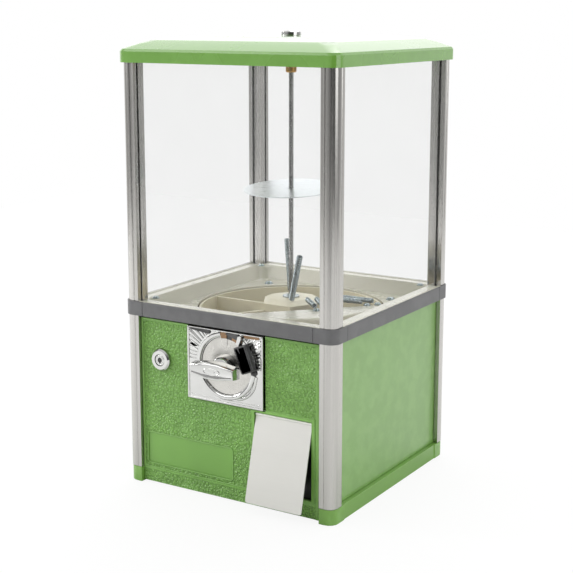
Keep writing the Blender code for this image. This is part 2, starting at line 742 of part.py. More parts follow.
def door_lock():
    centre = (LOCK_X, LOCK_Z)
    head = DOOR_FRONT - GAP
    back = -HALF_Y + POST + GAP
    body = turned(
        [
            (LOCK_HEAD_R - 1.6, head - 3.4),
            (LOCK_HEAD_R, head - 1.6),
            (LOCK_HEAD_R, head),
            (LOCK_BODY_R, head),
            (LOCK_BODY_R, back),
        ],
        centre,
        "Y",
    )
    bore = cylinder(centre, LOCK_PLUG_R + GAP, head - 6, back + 2, "Y", 24)
    node(cut(body, bore), "door_lock_body", CHROME, "chrome")
    cam_y = back + 0.7
    plug = turned(
        [
            (LOCK_PLUG_R - 0.6, head - 3.0),
            (LOCK_PLUG_R, head - 2.4),
            (LOCK_PLUG_R, cam_y - GAP),
            (2.6, cam_y - GAP),
            (2.6, cam_y + CAM_T + 2),
        ],
        centre,
        "Y",
        24,
    )
    key = cylinder(centre, 2.6, head - 5, head - 1, "Y", 16)
    origin = (LOCK_X, cam_y, LOCK_Z)
    node(cut(plug, key), "door_lock_plug", CHROME, "chrome", origin)
    half = CAM_W / 2
    tongue = [(LOCK_X + half, LOCK_Z), (LOCK_X + half * 0.8, LOCK_Z - CAM_L + 2), (LOCK_X, LOCK_Z - CAM_L)]
    tongue += [(LOCK_X - half * 0.8, LOCK_Z - CAM_L + 2), (LOCK_X - half, LOCK_Z)]
    cam = prism(tongue + arc(centre, half, 165, 15, 6), cam_y, cam_y + CAM_T, "Y")
    hole = cylinder(centre, 2.6 + GAP, cam_y - 1, cam_y + CAM_T + 1, "Y", 16)
    node(cut(cam, hole), "door_lock_cam", ZINC, "metal", origin)


def flap():
    x0, x1 = OPENING[0] + SLIT, OPENING[1] - SLIT
    lean = math.radians(FLAP_LEAN)
    length = (FLAP_Z - FLAP_BOTTOM) / math.cos(lean)
    r = 2.2
    sheet = [(x0, 0), (x0, -length + r)]
    sheet += arc((x0 + r, -length + r), r, 180, 270, 4)[1:]
    sheet += arc((x1 - r, -length + r), r, 270, 360, 4) + [(x1, 0)]
    made = prism(sheet, -FLAP_T / 2, FLAP_T / 2, "Y")
    made.data.transform(Matrix.Rotation(-lean, 4, "X"))
    made.data.transform(Matrix.Translation((0, FLAP_Y * MM, FLAP_Z * MM)))
    barrel = cylinder((FLAP_Y, FLAP_Z), FLAP_PIN_R + 0.8, x0, x1, "X", 16)
    stop = OPENING[3] + 2.2
    tail = [
        (FLAP_Y, FLAP_Z),
        (FLAP_Y + 1.6, FLAP_Z),
        (DOOR_BACK + GAP + 1.0, stop),
        (DOOR_BACK + GAP, stop),
        (DOOR_BACK + GAP, FLAP_Z + 1.0),
    ]
    made = join(made, barrel, prism(tail, x0, x1, "X"))
    bore = cylinder((FLAP_Y, FLAP_Z), FLAP_PIN_R + PIN_FIT, x0 - 2, x1 + 2, "X", 16)
    node(cut(made, bore), "chute_flap", STEEL, "metal", ((x0 + x1) / 2, FLAP_Y, FLAP_Z))


def coin_mech():
    x0, x1, z0, z1 = MECH
    centre = (0.0, HANDLE_Z)
    plate = box(x0, x1, MECH_FRONT + 0.7, MECH_BACK, z0, z1)
    edge = cut(
        box(x0, x1, MECH_FRONT, MECH_FRONT + 1.0, z0, z1),
        box(x0 + 1.8, x1 - 1.8, MECH_FRONT - 1, MECH_FRONT + 2, z0 + 1.8, z1 - 1.8),
    )
    ring = cylinder(centre, RING_R, MECH_FRONT - 0.3, MECH_BACK, "Y", 48)
    hole = cylinder(centre, DIAL_R + SLIT / 2, MECH_FRONT - 3, MECH_BACK + 2, "Y", 48)
    made = cut(join(plate, edge, ring), hole)
    for side, base, span in ((-1, 180, 56), (1, 0, 56)):
        for i in range(7):
            angle = math.radians(90 - side * (24 + i * 8))
            along = Vector((math.cos(angle), 0, math.sin(angle)))
            start = Vector((0, MECH_FRONT + 0.7, HANDLE_Z)) + along * (RING_R + 2.2)
            wall = x1 - 3.2 if side > 0 else -x0 - 3.2
            roof = z1 - 3.2 - HANDLE_Z
            reach = min(wall / max(abs(along.x), 0.01), roof / max(along.z, 0.01))
            if reach < RING_R + 6:
                continue
            end = Vector((0, MECH_FRONT + 0.7, HANDLE_Z)) + along * reach
            made = join(made, rod_between(start, end, 0.55, 6))
    node(made, "mech_faceplate", CHROME, "chrome")
    slot = box(-2.2, 2.2, MECH_FRONT - 4, MECH_FRONT + 1.2, DIAL_R - 9, DIAL_R + 4)
    slot.data.transform(Matrix.Rotation(math.radians(8), 4, "Y"))
    slot.data.transform(Matrix.Translation((0, 0, HANDLE_Z * MM)))
    dial = cylinder(centre, DIAL_R, MECH_FRONT + 0.6, MECH_BACK, "Y", 48)
    bore = cylinder(centre, SHAFT_R + GAP, MECH_FRONT - 2, MECH_BACK + 2, "Y", 20)
    node(cut(dial, slot, bore), "coin_dial", STEEL, "metal", (0, MECH_FRONT, HANDLE_Z))
    front = -HALF_Y - HANDLE_OUT
    back = front + HANDLE_DEEP
    shaft_back = GEAR_Y + GEAR_T / 2 + 2
    shaft = cylinder(centre, SHAFT_R, back - 4, shaft_back, "Y", 20)
    node(shaft, "handle_shaft", ZINC, "metal", (0, MECH_FRONT, HANDLE_Z))
    h, e, w = HANDLE_H / 2, HANDLE_END_H / 2, HANDLE_HALF
    outline = [(-w, -e), (-6, -h), (6, -h), (w, -e), (w, e), (6, h), (-6, h), (-w, e)]
    rings = []
    for y, shrink in ((front, 1.6), (front + 1.2, 0.0), (back, 0.0)):
        rings.append([(a - math.copysign(shrink, a), y, HANDLE_Z + b - math.copysign(shrink, b)) for a, b in outline])
    grip = skin(rings)
    seat = MECH_FRONT + 0.6 - GAP
    collar = turned([(9.0, back - 1), (11.2, back + 2), (12.0, back + 6), (12.6, seat)], centre, "Y", 32)
    socket = cylinder(centre, SHAFT_R + GAP, back - 5, MECH_FRONT + 2, "Y", 20)
    node(cut(join(grip, collar), socket), "turn_handle", CHROME, "chrome", (0, MECH_FRONT, HANDLE_Z))
    cover = []
    face = MECH_FRONT - COVER_DEEP
    w, h = COVER_W / 2, COVER_H / 2
    for y, s in ((MECH_FRONT - 0.6, 0.0), (face + 1.2, 0.0), (face, 1.0)):
        cover.append([(a - math.copysign(s, a), y, b - math.copysign(s, b)) for a, b in rounded(-w, w, -h, h, 1.2, 2)])
    block = skin(cover)
    for rib in (-4.2, 0.0, 4.2):
        block = cut(block, box(rib - 0.9, rib + 0.9, face - 2, face + 1.6, -h + 2, h - 2))
    block.data.transform(Matrix.Rotation(math.radians(-COVER_TILT), 4, "Y"))
    block.data.transform(Matrix.Translation((COVER_AT[0] * MM, 0, (HANDLE_Z + COVER_AT[1]) * MM)))
    node(block, "coin_cover", BLACK, "plastic")
    low, deep = MECH_BACK + GAP, MECH_BACK + GAP + HOUSING_DEEP
    case = box(x0 + 3, x1 - 3, low, deep, z0 + 2, z1 - 2)
    inside = box(x0 + 5, x1 - 5, low - 2, deep - 2.5, z0 + 4, z1 - 4)
    drop = box(-18, 14, low - 2, deep - 4, z0, z0 + 6)
    bore = cylinder(centre, SHAFT_R + GAP, low - 2, deep + 2, "Y", 20)
    node(cut(case, inside, drop, bore), "mech_housing", ZINC, "metal")
    carrier = cylinder(centre, 25.0, low + 2.0, low + 5.0, "Y", 32)
    bore = cylinder(centre, SHAFT_R + GAP, low, low + 8, "Y", 20)
    node(cut(carrier, bore), "coin_carrier", STEEL, "metal", (0, MECH_FRONT, HANDLE_Z))
    lip = DOOR_BACK + SLIT
    spout = [(lip, z0 + 1.4), (lip, z0 - 0.2), (lip + 18, z0 - 22), (lip + 18, z0 - 20)]
    node(prism(spout, -19, 15, "X"), "coin_spout", ZINC, "metal")


def drive_gear():
    outline = []
    for i in range(GEAR_TEETH):
        angle = math.radians(90 + 360 / GEAR_TEETH * i)
        across = TOOTH_W / 2
        root = math.sqrt(GEAR_HUB ** 2 - across ** 2)
        for r, w in ((root, -across), (GEAR_TIP - 2, -across), (GEAR_TIP, -across * 0.6)):
            outline.append((r, w, angle))
        for r, w in ((GEAR_TIP, across * 0.6), (GEAR_TIP - 2, across), (root, across)):
            outline.append((r, w, angle))
        outline.append((GEAR_HUB, 0.0, angle + math.pi / GEAR_TEETH))
    points = []
    for r, w, angle in outline:
        points.append((r * math.cos(angle) - w * math.sin(angle), HANDLE_Z + r * math.sin(angle) + w * math.cos(angle)))
    gear = prism(points, GEAR_Y - GEAR_T / 2, GEAR_Y + GEAR_T / 2, "Y")
    bore = cylinder((0, HANDLE_Z), SHAFT_R + GAP, GEAR_Y - 5, GEAR_Y + 5, "Y", 20)
    node(cut(gear, bore), "drive_gear", ZINC, "metal", (0, GEAR_Y, HANDLE_Z))


def chute():
    x0, x1 = CHUTE_X[0] - CHUTE_T, CHUTE_X[1] + CHUTE_T
    front, back, roof = CHUTE_FRONT, CHUTE_BACK, CHUTE_ROOF
    top = WHEEL_Z - PLATFORM_GAP - PLATFORM_T - 6 - GAP
    rise = math.tan(math.radians(CHUTE_SLOPE))
    floor = OPENING[2] - 0.6
    neck = -PLATFORM_FRONT + 1
    pocket = -HALF_Y + BASE_RIM + SLIT
    lift = BASE_H + GAP
    high = floor + (back - front) * rise
    sides = [(front, lift), (pocket, lift), (pocket, BASE_FLOOR + GAP), (back, BASE_FLOOR + GAP)]
    sides += [(back, top), (neck, top), (neck, roof), (front, roof)]
    inner_back = back - CHUTE_T
    path = [
        (front - 2, floor - 2 * rise),
        (inner_back, floor + (inner_back - front) * rise),
        (inner_back, top + 2),
        (neck + CHUTE_T, top + 2),
        (neck + CHUTE_T, roof - CHUTE_T),
        (front - 2, roof - CHUTE_T),
    ]
    drop = CHUTE_T / math.cos(math.radians(CHUTE_SLOPE))
    legs = pocket + CHUTE_T
    under = [
        (legs, BASE_FLOOR - 2),
        (inner_back, BASE_FLOOR - 2),
        (inner_back, high - drop - CHUTE_T * rise),
        (legs, floor + (legs - front) * rise - drop),
    ]
    made = prism(sides, x0, x1, "X")
    hollow = prism(path, x0 + CHUTE_T, x1 - CHUTE_T, "X")
    void = prism(under, x0 + CHUTE_T, x1 - CHUTE_T, "X")
    node(cut(made, hollow, void), "candy_chute", GREY, "plastic")
    x0, x1 = COIN_BOX_X
    y0 = -HALF_Y + BASE_RIM + SLIT
    y1 = y0 + COIN_BOX_L
    z0 = BASE_FLOOR + GAP
    z1 = MECH[2] - COIN_BOX_DROP
    tray = cut(box(x0, x1, y0, y1, z0, z1), box(x0 + 2, x1 - 2, y0 + 2, y1 - 2, z0 + 2, z1 + 2))
    node(tray, "coin_box", BLACK, "plastic")


clear_scene()
base()
posts()
panels()
band()
lid()
rod()
hopper_tray()
platform()
wheel()
strike_springs(*brush())
door()
door_lock()
flap()
coin_mech()
drive_gear()
chute()
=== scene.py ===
"""Visual model of a countertop candy bulk dispenser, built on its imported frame.

Lengths are metres. The door faces -Y, +X is to the right and the machine stands on z = 0.
"""

import math

import bmesh
import bpy
from mathutils import Matrix, Vector


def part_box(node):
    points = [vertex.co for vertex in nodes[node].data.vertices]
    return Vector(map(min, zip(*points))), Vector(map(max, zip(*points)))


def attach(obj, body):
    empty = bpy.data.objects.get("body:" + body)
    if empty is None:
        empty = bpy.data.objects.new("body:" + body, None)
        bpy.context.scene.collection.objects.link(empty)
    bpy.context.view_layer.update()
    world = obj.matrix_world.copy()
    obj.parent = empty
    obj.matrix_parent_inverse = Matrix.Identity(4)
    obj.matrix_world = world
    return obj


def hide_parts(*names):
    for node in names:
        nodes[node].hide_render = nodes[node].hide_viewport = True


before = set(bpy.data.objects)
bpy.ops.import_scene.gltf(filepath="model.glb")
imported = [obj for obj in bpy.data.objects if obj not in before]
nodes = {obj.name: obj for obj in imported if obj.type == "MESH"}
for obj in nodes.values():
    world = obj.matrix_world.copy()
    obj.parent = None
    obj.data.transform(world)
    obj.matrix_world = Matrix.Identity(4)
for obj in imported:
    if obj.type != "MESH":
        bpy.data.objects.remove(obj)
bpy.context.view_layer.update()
MM = 0.001


def srgb(red, green, blue):
    """A linear colour from the 0 to 255 values that a paint chart gives."""
    out = []
    for value in (red, green, blue):
        share = value / 255
        out.append(share / 12.92 if share <= 0.04045 else ((share + 0.055) / 1.055) ** 2.4)
    return (*out, 1.0)


def tint(colour, share, lift=0.0):
    """A colour multiplied by a share and lifted towards white."""
    return tuple(min(1.0, c * share + lift) for c in colour[:3]) + (1.0,)


# ---------------------------------------------------------------- node helpers


def put(tree, kind, inputs=None, **settings):
    """Adds a node, sets it, and fills its sockets with values or links."""
    made = tree.nodes.new(kind)
    for key, value in settings.items():
        setattr(made, key, value)
    for key, value in (inputs or {}).items():
        if isinstance(value, bpy.types.NodeSocket):
            tree.links.new(value, made.inputs[key])
        else:
            made.inputs[key].default_value = value
    return made


def maths(tree, operation, a, b=0.0, clamp=False):
    made = put(tree, "ShaderNodeMath", {0: a, 1: b}, operation=operation, use_clamp=clamp)
    return made.outputs[0]


def ramp(tree, value, low, high, floor=0.0, top=1.0):
    made = put(
        tree,
        "ShaderNodeMapRange",
        {"Value": value, "From Min": low, "From Max": high, "To Min": floor, "To Max": top},
    )
    return made.outputs["Result"]


def blend_colour(tree, factor, a, b):
    made = put(tree, "ShaderNodeMix", data_type="RGBA")
    for index, value in ((0, factor), (6, a), (7, b)):
        if isinstance(value, bpy.types.NodeSocket):
            tree.links.new(value, made.inputs[index])
        else:
            made.inputs[index].default_value = value
    return made.outputs[2]


def new_group(name, inputs, outputs):
    """A shader group with named float inputs and outputs."""
    tree = bpy.data.node_groups.new(name, "ShaderNodeTree")
    for label, default in inputs:
        socket = tree.interface.new_socket(label, in_out="INPUT", socket_type="NodeSocketFloat")
        socket.default_value = default
    for label in outputs:
        tree.interface.new_socket(label, in_out="OUTPUT", socket_type="NodeSocketFloat")
    return tree, put(tree, "NodeGroupInput"), put(tree, "NodeGroupOutput")


def noise(tree, vector, scale, detail=3.0, roughness=0.55):
    made = put(
        tree,
        "ShaderNodeTexNoise",
        {"Vector": vector, "Scale": scale, "Detail": detail, "Roughness": roughness},
    )
    return made.outputs["Fac"]


def object_place(tree):
    return put(tree, "ShaderNodeTexCoord").outputs["Object"]


# ---------------------------------------------------------------- shared effects


def make_mottle():
    """Slow and fine unevenness of a moulded or painted face."""
    tree, given, out = new_group("mottle", [("Slow", 14.0), ("Fine", 900.0)], ["Tone", "Height"])
    place = object_place(tree)
    slow = noise(tree, place, given.outputs["Slow"], 2.0)
    fine = noise(tree, place, given.outputs["Fine"], 2.0)
    tree.links.new(slow, out.inputs["Tone"])
    tree.links.new(fine, out.inputs["Height"])
    return tree


def make_pebble():
    """Leather-like pebble grain with rounded bumps and narrow creases."""
    tree, given, out = new_group("pebble_grain", [("Scale", 420.0)], ["Height", "Crease"])
    place = object_place(tree)
    warp = put(tree, "ShaderNodeTexNoise", {"Vector": place, "Scale": 120.0, "Detail": 2.0})
    offset = put(
        tree,
        "ShaderNodeVectorMath",
        {0: warp.outputs["Color"], "Scale": 0.003},
        operation="SCALE",
    )
    moved = put(tree, "ShaderNodeVectorMath", {0: place, 1: offset.outputs[0]}, operation="ADD")
    cells = put(
        tree,
        "ShaderNodeTexVoronoi",
        {"Vector": moved.outputs[0], "Scale": given.outputs["Scale"], "Smoothness": 0.4},
        feature="SMOOTH_F1",
    )
    small = noise(tree, moved.outputs[0], 900.0, 2.0)
    domes = ramp(tree, cells.outputs["Distance"], 0.15, 0.75, 1.0, 0.0)
    mixed = maths(tree, "ADD", domes, maths(tree, "MULTIPLY", small, 0.25))
    tree.links.new(mixed, out.inputs["Height"])
    tree.links.new(ramp(tree, domes, 0.05, 0.5, 1.0, 0.0), out.inputs["Crease"])
    return tree


def make_edge_wear():
    """Mask of rubbed edges, broken up by noise."""
    tree, given, out = new_group("edge_wear", [("Amount", 0.5), ("Scale", 60.0)], ["Mask"])
    sharp = put(tree, "ShaderNodeNewGeometry").outputs["Pointiness"]
    edge = ramp(tree, sharp, 0.515, 0.56)
    broken = ramp(tree, noise(tree, object_place(tree), given.outputs["Scale"], 4.0), 0.42, 0.62)
    mask = maths(tree, "MULTIPLY", edge, broken)
    mask = maths(tree, "MULTIPLY", mask, given.outputs["Amount"], True)
    tree.links.new(mask, out.inputs["Mask"])
    return tree


def make_dust():
    """Mask of thin dust on faces that look up."""
    tree, given, out = new_group("settled_dust", [("Amount", 0.2), ("Scale", 40.0)], ["Mask"])
    normal = put(tree, "ShaderNodeNewGeometry").outputs["Normal"]
    up = put(tree, "ShaderNodeSeparateXYZ", {0: normal}).outputs["Z"]
    facing = ramp(tree, up, 0.35, 0.95)
    patch = ramp(tree, noise(tree, object_place(tree), given.outputs["Scale"], 5.0), 0.3, 0.8)
    mask = maths(tree, "MULTIPLY", facing, patch)
    mask = maths(tree, "MULTIPLY", mask, given.outputs["Amount"], True)
    tree.links.new(mask, out.inputs["Mask"])
    return tree


def make_brushed():
    """Fine parallel draw lines along one axis of the metal."""
    tree, given, out = new_group(
        "draw_lines",
        [("Along X", 1.0), ("Along Y", 1.0), ("Along Z", 1.0), ("Scale", 900.0)],
        ["Height", "Tone"],
    )
    squeeze = put(tree, "ShaderNodeCombineXYZ", {i: given.outputs[i] for i in range(3)}).outputs[0]
    scaled = put(tree, "ShaderNodeVectorMath", {0: object_place(tree), 1: squeeze}, operation="MULTIPLY")
    lines = noise(tree, scaled.outputs[0], given.outputs["Scale"], 3.0, 0.6)
    broad = noise(tree, scaled.outputs[0], 90.0, 2.0)
    tree.links.new(lines, out.inputs["Height"])
    tree.links.new(broad, out.inputs["Tone"])
    return tree


mottle = make_mottle()
pebble_grain = make_pebble()
edge_wear = make_edge_wear()
settled_dust = make_dust()
draw_lines = make_brushed()


def use(tree, group, **values):
    made = put(tree, "ShaderNodeGroup", node_tree=group)
    for label, value in values.items():
        made.inputs[label.replace("_", " ")].default_value = value
    return made


# ---------------------------------------------------------------- materials


DUST = srgb(206, 203, 194)


def start(name, roughness=0.4, metallic=0.0, **sockets):
    """A Principled material; returns it with its tree and its shader."""
    made = bpy.data.materials.new(name)
    made.use_nodes = True
    shader = made.node_tree.nodes["Principled BSDF"]
    shader.inputs["Roughness"].default_value = roughness
    shader.inputs["Metallic"].default_value = metallic
    for label, value in sockets.items():
        shader.inputs[label.replace("_", " ")].default_value = value
    return made, made.node_tree, shader


def moulded(
    name,
    colour,
    roughness,
    shade=0.12,
    height=0.00003,
    fine=900.0,
    wear=0.3,
    dust=0.12,
    slow=14.0,
    vary=0.03,
    **sockets,
):
    """Moulded plastic or even paint: slow tone, fine skin, rubbed edges and a little dust."""
    made, tree, shader = start(name, roughness, 0.0, **sockets)
    skin = use(tree, mottle, Slow=slow, Fine=fine)
    dark, light, worn = tint(colour, 1 - shade), tint(colour, 1 + shade * 0.6), tint(colour, 1.35, 0.06)
    body = blend_colour(tree, ramp(tree, skin.outputs["Tone"], 0.3, 0.7), dark, light)
    body = blend_colour(tree, use(tree, edge_wear, Amount=wear).outputs["Mask"], body, worn)
    dusty = use(tree, settled_dust, Amount=dust).outputs["Mask"]
    body = blend_colour(tree, dusty, body, DUST)
    tree.links.new(body, shader.inputs["Base Color"])
    uneven = ramp(tree, skin.outputs["Tone"], 0.3, 0.7, roughness - vary, roughness + vary)
    rough = maths(tree, "ADD", uneven, dusty)
    tree.links.new(rough, shader.inputs["Roughness"])
    bump = put(tree, "ShaderNodeBump", {"Height": skin.outputs["Height"], "Distance": height, "Strength": 0.6})
    tree.links.new(bump.outputs[0], shader.inputs["Normal"])
    return made


def pebbled(name, colour, field_y, roughness=0.3):
    """Green door skin: pebble grain on its field, smooth on its border and label recess, with painted shade in the
    creases and a painted highlight on each pebble's crown.
    """
    made, tree, shader = start(name, roughness)
    place = object_place(tree)
    depth = put(tree, "ShaderNodeSeparateXYZ", {0: place}).outputs["Y"]
    away = maths(tree, "ABSOLUTE", maths(tree, "SUBTRACT", depth, field_y))
    field = ramp(tree, away, 0.00012, 0.00034, 1.0, 0.0)
    grain = use(tree, pebble_grain, Scale=400.0)
    skin = use(tree, mottle, Slow=10.0, Fine=1100.0)
    body = blend_colour(tree, ramp(tree, skin.outputs["Tone"], 0.3, 0.7), tint(colour, 0.84), tint(colour, 1.1))
    # Painted shade: the colour darkens towards half its value in the grain's creases.
    crease = maths(tree, "MULTIPLY", grain.outputs["Crease"], field)
    body = blend_colour(tree, maths(tree, "MULTIPLY", crease, 0.5), body, tint(colour, 0.5))
    # Painted highlight: the colour pales on the crown of each pebble.
    crown_highlight = maths(tree, "MULTIPLY", ramp(tree, grain.outputs["Height"], 0.85, 1.15), field)
    body = blend_colour(tree, maths(tree, "MULTIPLY", crown_highlight, 0.7), body, tint(colour, 1.3, 0.03))
    rubbed = use(tree, edge_wear, Amount=0.35).outputs["Mask"]
    body = blend_colour(tree, rubbed, body, tint(colour, 1.3, 0.05))
    tree.links.new(body, shader.inputs["Base Color"])
    rough = maths(tree, "ADD", maths(tree, "MULTIPLY", crease, 0.2), roughness)
    tree.links.new(rough, shader.inputs["Roughness"])
    height = maths(tree, "MULTIPLY", grain.outputs["Height"], field)
    height = maths(tree, "ADD", height, maths(tree, "MULTIPLY", skin.outputs["Height"], 0.08))
    bump = put(tree, "ShaderNodeBump", {"Height": height, "Distance": 0.0013, "Strength": 1.0})
    tree.links.new(bump.outputs[0], shader.inputs["Normal"])
    return made


def metal(
    name, colour, roughness, squeeze=(1, 1, 1), scale=900.0, height=0.00001, tone=0.15, tarnish=0.25, spread=0.1
):
    """Metal with draw lines, uneven tone and a dull film in places."""
    made, tree, shader = start(name, roughness, 1.0)
    lines = use(tree, draw_lines, Along_X=squeeze[0], Along_Y=squeeze[1], Along_Z=squeeze[2], Scale=scale)
    body = blend_colour(tree, ramp(tree, lines.outputs["Tone"], 0.3, 0.7), tint(colour, 1 - tone), colour)
    film = ramp(tree, noise(tree, object_place(tree), 55.0, 5.0), 0.5, 0.8, 0.0, tarnish)
    body = blend_colour(tree, film, body, tint(colour, 0.62))
    tree.links.new(body, shader.inputs["Base Color"])
    rough = ramp(tree, lines.outputs["Height"], 0.3, 0.7, max(0.02, roughness - spread), roughness + spread)
    rough = maths(tree, "ADD", rough, maths(tree, "MULTIPLY", film, 0.5))
    tree.links.new(rough, shader.inputs["Roughness"])
    bump = put(tree, "ShaderNodeBump", {"Height": lines.outputs["Height"], "Distance": height, "Strength": 0.5})
    tree.links.new(bump.outputs[0], shader.inputs["Normal"])
    return made


def clear_sheet(name):
    """Clear acrylic: a faint grey body with a polished skin and slight smears."""
    made, tree, shader = start(name, 0.05)
    smear = noise(tree, object_place(tree), 24.0, 4.0)
    tone = blend_colour(tree, smear, (0.44, 0.45, 0.45, 1.0), (0.52, 0.53, 0.53, 1.0))
    tree.links.new(tone, shader.inputs["Base Color"])
    tree.links.new(ramp(tree, smear, 0.35, 0.75, 0.04, 0.12), shader.inputs["Roughness"])
    tree.links.new(ramp(tree, smear, 0.3, 0.7, 0.05, 0.058), shader.inputs["Alpha"])
    return made


BODY_GREEN = srgb(112, 160, 66)
DOOR_GREEN = srgb(122, 172, 80)
# The pebbled field lies 0.6 mm behind the door's raised border.
DOOR_SKIN_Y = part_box("front_door")[0][1] + 0.0006

green_shell = moulded("green_shell", BODY_GREEN, 0.34, shade=0.05, Coat_Weight=0.3)
green_lid = moulded(
    "green_lid", srgb(108, 160, 62), 0.26, shade=0.03, dust=0.08, Coat_Weight=1.0, Coat_Roughness=0.14
)
green_panel = moulded(
    "green_panel",
    srgb(112, 158, 72),
    0.42,
    shade=0.01,
    fine=500.0,
    height=0.000002,
    dust=0.05,
    slow=5.0,
    vary=0.004,
    wear=0.2,
    Coat_Weight=0.8,
    Coat_Roughness=0.2,
)
green_door = pebbled("green_door", DOOR_GREEN, DOOR_SKIN_Y)
green_bead = moulded("green_bead", DOOR_GREEN, 0.3, shade=0.05, Coat_Weight=0.3)
grey_band = moulded("grey_band", srgb(98, 98, 99), 0.42, shade=0.03, wear=0.2)
cream_tray = moulded("cream_tray", srgb(206, 202, 188), 0.22, shade=0.05, Coat_Weight=0.3)
ivory_wheel = moulded("ivory_wheel", srgb(232, 224, 198), 0.34, shade=0.06)
grey_inner = moulded("grey_inner", srgb(60, 60, 60), 0.5)
black_moulding = moulded("black_moulding", srgb(34, 34, 35), 0.26, shade=0.2, wear=0.8, Coat_Weight=0.3)
drawn_aluminium = metal(
    "drawn_aluminium",
    srgb(198, 196, 192),
    0.2,
    (1, 1, 0.004),
    420.0,
    spread=0.12,
    tone=0.2,
    tarnish=0.05,
    height=0.00004,
)
dark_rod = metal("dark_rod", srgb(150, 150, 148), 0.26, (1, 1, 0.1), 500.0)
polished_disc = metal("polished_disc", srgb(228, 232, 236), 0.32, (0.1, 1, 1), tone=0.03, tarnish=0.04)
bright_chrome = metal("bright_chrome", srgb(206, 206, 204), 0.09, tone=0.05, spread=0.03, tarnish=0.12)
bright_zinc = metal("bright_zinc", srgb(176, 186, 190), 0.28, (1, 1, 0.1), 500.0)
satin_steel = metal(
    "satin_steel", srgb(226, 225, 220), 0.46, (0.08, 1, 1), tone=0.015, tarnish=0.02, spread=0.03, height=0.000003
)
satin_dial = metal("satin_dial", srgb(205, 203, 198), 0.3, scale=1200.0, tone=0.08)
plain_brass = metal("plain_brass", srgb(190, 146, 84), 0.3)
aged_bronze = metal("aged_bronze", srgb(150, 122, 96), 0.34, tone=0.2)
clear_panel = clear_sheet("clear_panel")


# ---------------------------------------------------------------- frame pieces


def dress(names, material, width, segments=2, angle=32):
    """Gives frame nodes their material and soft edges of a width in metres."""
    for name in names:
        piece = nodes[name]
        piece.data.materials.clear()
        piece.data.materials.append(material)
        if "custom_normal" in piece.data.attributes:
            piece.data.attributes.remove(piece.data.attributes["custom_normal"])
        piece.data.shade_smooth()
        merge = piece.modifiers.new("merge", "WELD")
        merge.merge_threshold = 0.00001
        flatten = piece.modifiers.new("flatten", "DECIMATE")
        flatten.decimate_type = "DISSOLVE"
        flatten.angle_limit = math.radians(0.6)
        edges = piece.modifiers.new("edges", "BEVEL")
        edges.width = width
        edges.segments = segments
        edges.limit_method = "ANGLE"
        edges.angle_limit = math.radians(angle)
        edges.miter_outer = "MITER_ARC"
        piece.modifiers.new("normals", "WEIGHTED_NORMAL").weight = 60


SIDES = ("front", "rear", "left", "right")
CORNERS = ("front_left", "front_right", "rear_left", "rear_right")

dress(["base_tray"], green_shell, 0.0008)
dress(["side_panel_left", "side_panel_right", "rear_panel"], green_panel, 0.0004)
dress(["front_door"], green_door, 0.0003)
dress(["lid"], green_lid, 0.0016, 3, 14)
dress(["corner_post_" + c for c in CORNERS], drawn_aluminium, 0.0003)
dress(["band_rail_" + s for s in SIDES] + ["band_corner_" + c for c in CORNERS], grey_band, 0.0005)
dress(["clear_panel_" + s for s in SIDES], clear_panel, 0.0003, 1)
dress(["hopper_tray"], cream_tray, 0.0012, 3)
dress(["brush_housing"], cream_tray, 0.0022, 3)
dress(["dispensing_wheel"], ivory_wheel, 0.0009, 3)
dress(["wheel_platform", "candy_chute"], grey_inner, 0.0004)
dress(["coin_box"], black_moulding, 0.0005)
dress(["coin_cover"], black_moulding, 0.0003)
dress(["mech_faceplate"], bright_chrome, 0.00025)
dress(["lid_lock_body", "lid_lock_plug", "door_lock_body", "door_lock_plug"], bright_chrome, 0.0003)
dress(["coin_dial"], satin_dial, 0.0003)
dress(["coin_carrier", "chute_flap"], satin_steel, 0.0002)
dress(["baffle_disc"], polished_disc, 0.0002)
dress(["mech_housing", "coin_spout", "handle_shaft", "drive_gear", "door_lock_cam"], bright_zinc, 0.0003)
dress(["door_hinge_pin_lower", "door_hinge_pin_upper", "flap_hinge_pin"], bright_zinc, 0.0002)
dress(["centre_rod"], dark_rod, 0.0002)
dress(["rod_lower_nut", "rod_washer", "baffle_collar"], bright_zinc, 0.0003)
dress(["rod_nut"], plain_brass, 0.0003)


# ---------------------------------------------------------------- pieces grown from trees


def geometry_tree(name, inputs):
    """An empty geometry tree with named inputs; returns it with its group input."""
    tree = bpy.data.node_groups.new(name, "GeometryNodeTree")
    tree.interface.new_socket("Geometry", in_out="INPUT", socket_type="NodeSocketGeometry")
    for label, kind, default in inputs:
        socket = tree.interface.new_socket(label, in_out="INPUT", socket_type="NodeSocket" + kind)
        if default is not None:
            socket.default_value = default
    tree.interface.new_socket("Geometry", in_out="OUTPUT", socket_type="NodeSocketGeometry")
    return tree, put(tree, "NodeGroupInput")


def close_tree(tree, geometry, given):
    """Ends a tree: instances made real, smooth shading and the piece's material."""
    real = put(tree, "GeometryNodeRealizeInstances", {0: geometry})
    smooth = put(tree, "GeometryNodeSetShadeSmooth", {0: real.outputs[0]})
    painted = put(
        tree,
        "GeometryNodeSetMaterial",
        {"Geometry": smooth.outputs[0], "Material": given.outputs["Material"]},
    )
    put(tree, "NodeGroupOutput", {0: painted.outputs[0]})


def grow(name, tree, values, mesh=None):
    """Runs a geometry tree and keeps its result as a plain mesh object."""
    carrier = bpy.data.objects.new(name + "_source", mesh or bpy.data.meshes.new(name + "_source"))
    bpy.context.scene.collection.objects.link(carrier)
    modifier = carrier.modifiers.new("grow", "NODES")
    modifier.node_group = tree
    for item in tree.interface.items_tree:
        if item.in_out == "INPUT" and item.name in values:
            modifier[item.identifier] = values[item.name]
    bpy.context.view_layer.update()
    graph = bpy.context.evaluated_depsgraph_get()
    result = bpy.data.meshes.new_from_object(carrier.evaluated_get(graph))
    bpy.data.objects.remove(carrier, do_unlink=True)
    result.name = name
    piece = bpy.data.objects.new(name, result)
    bpy.context.scene.collection.objects.link(piece)
    return piece


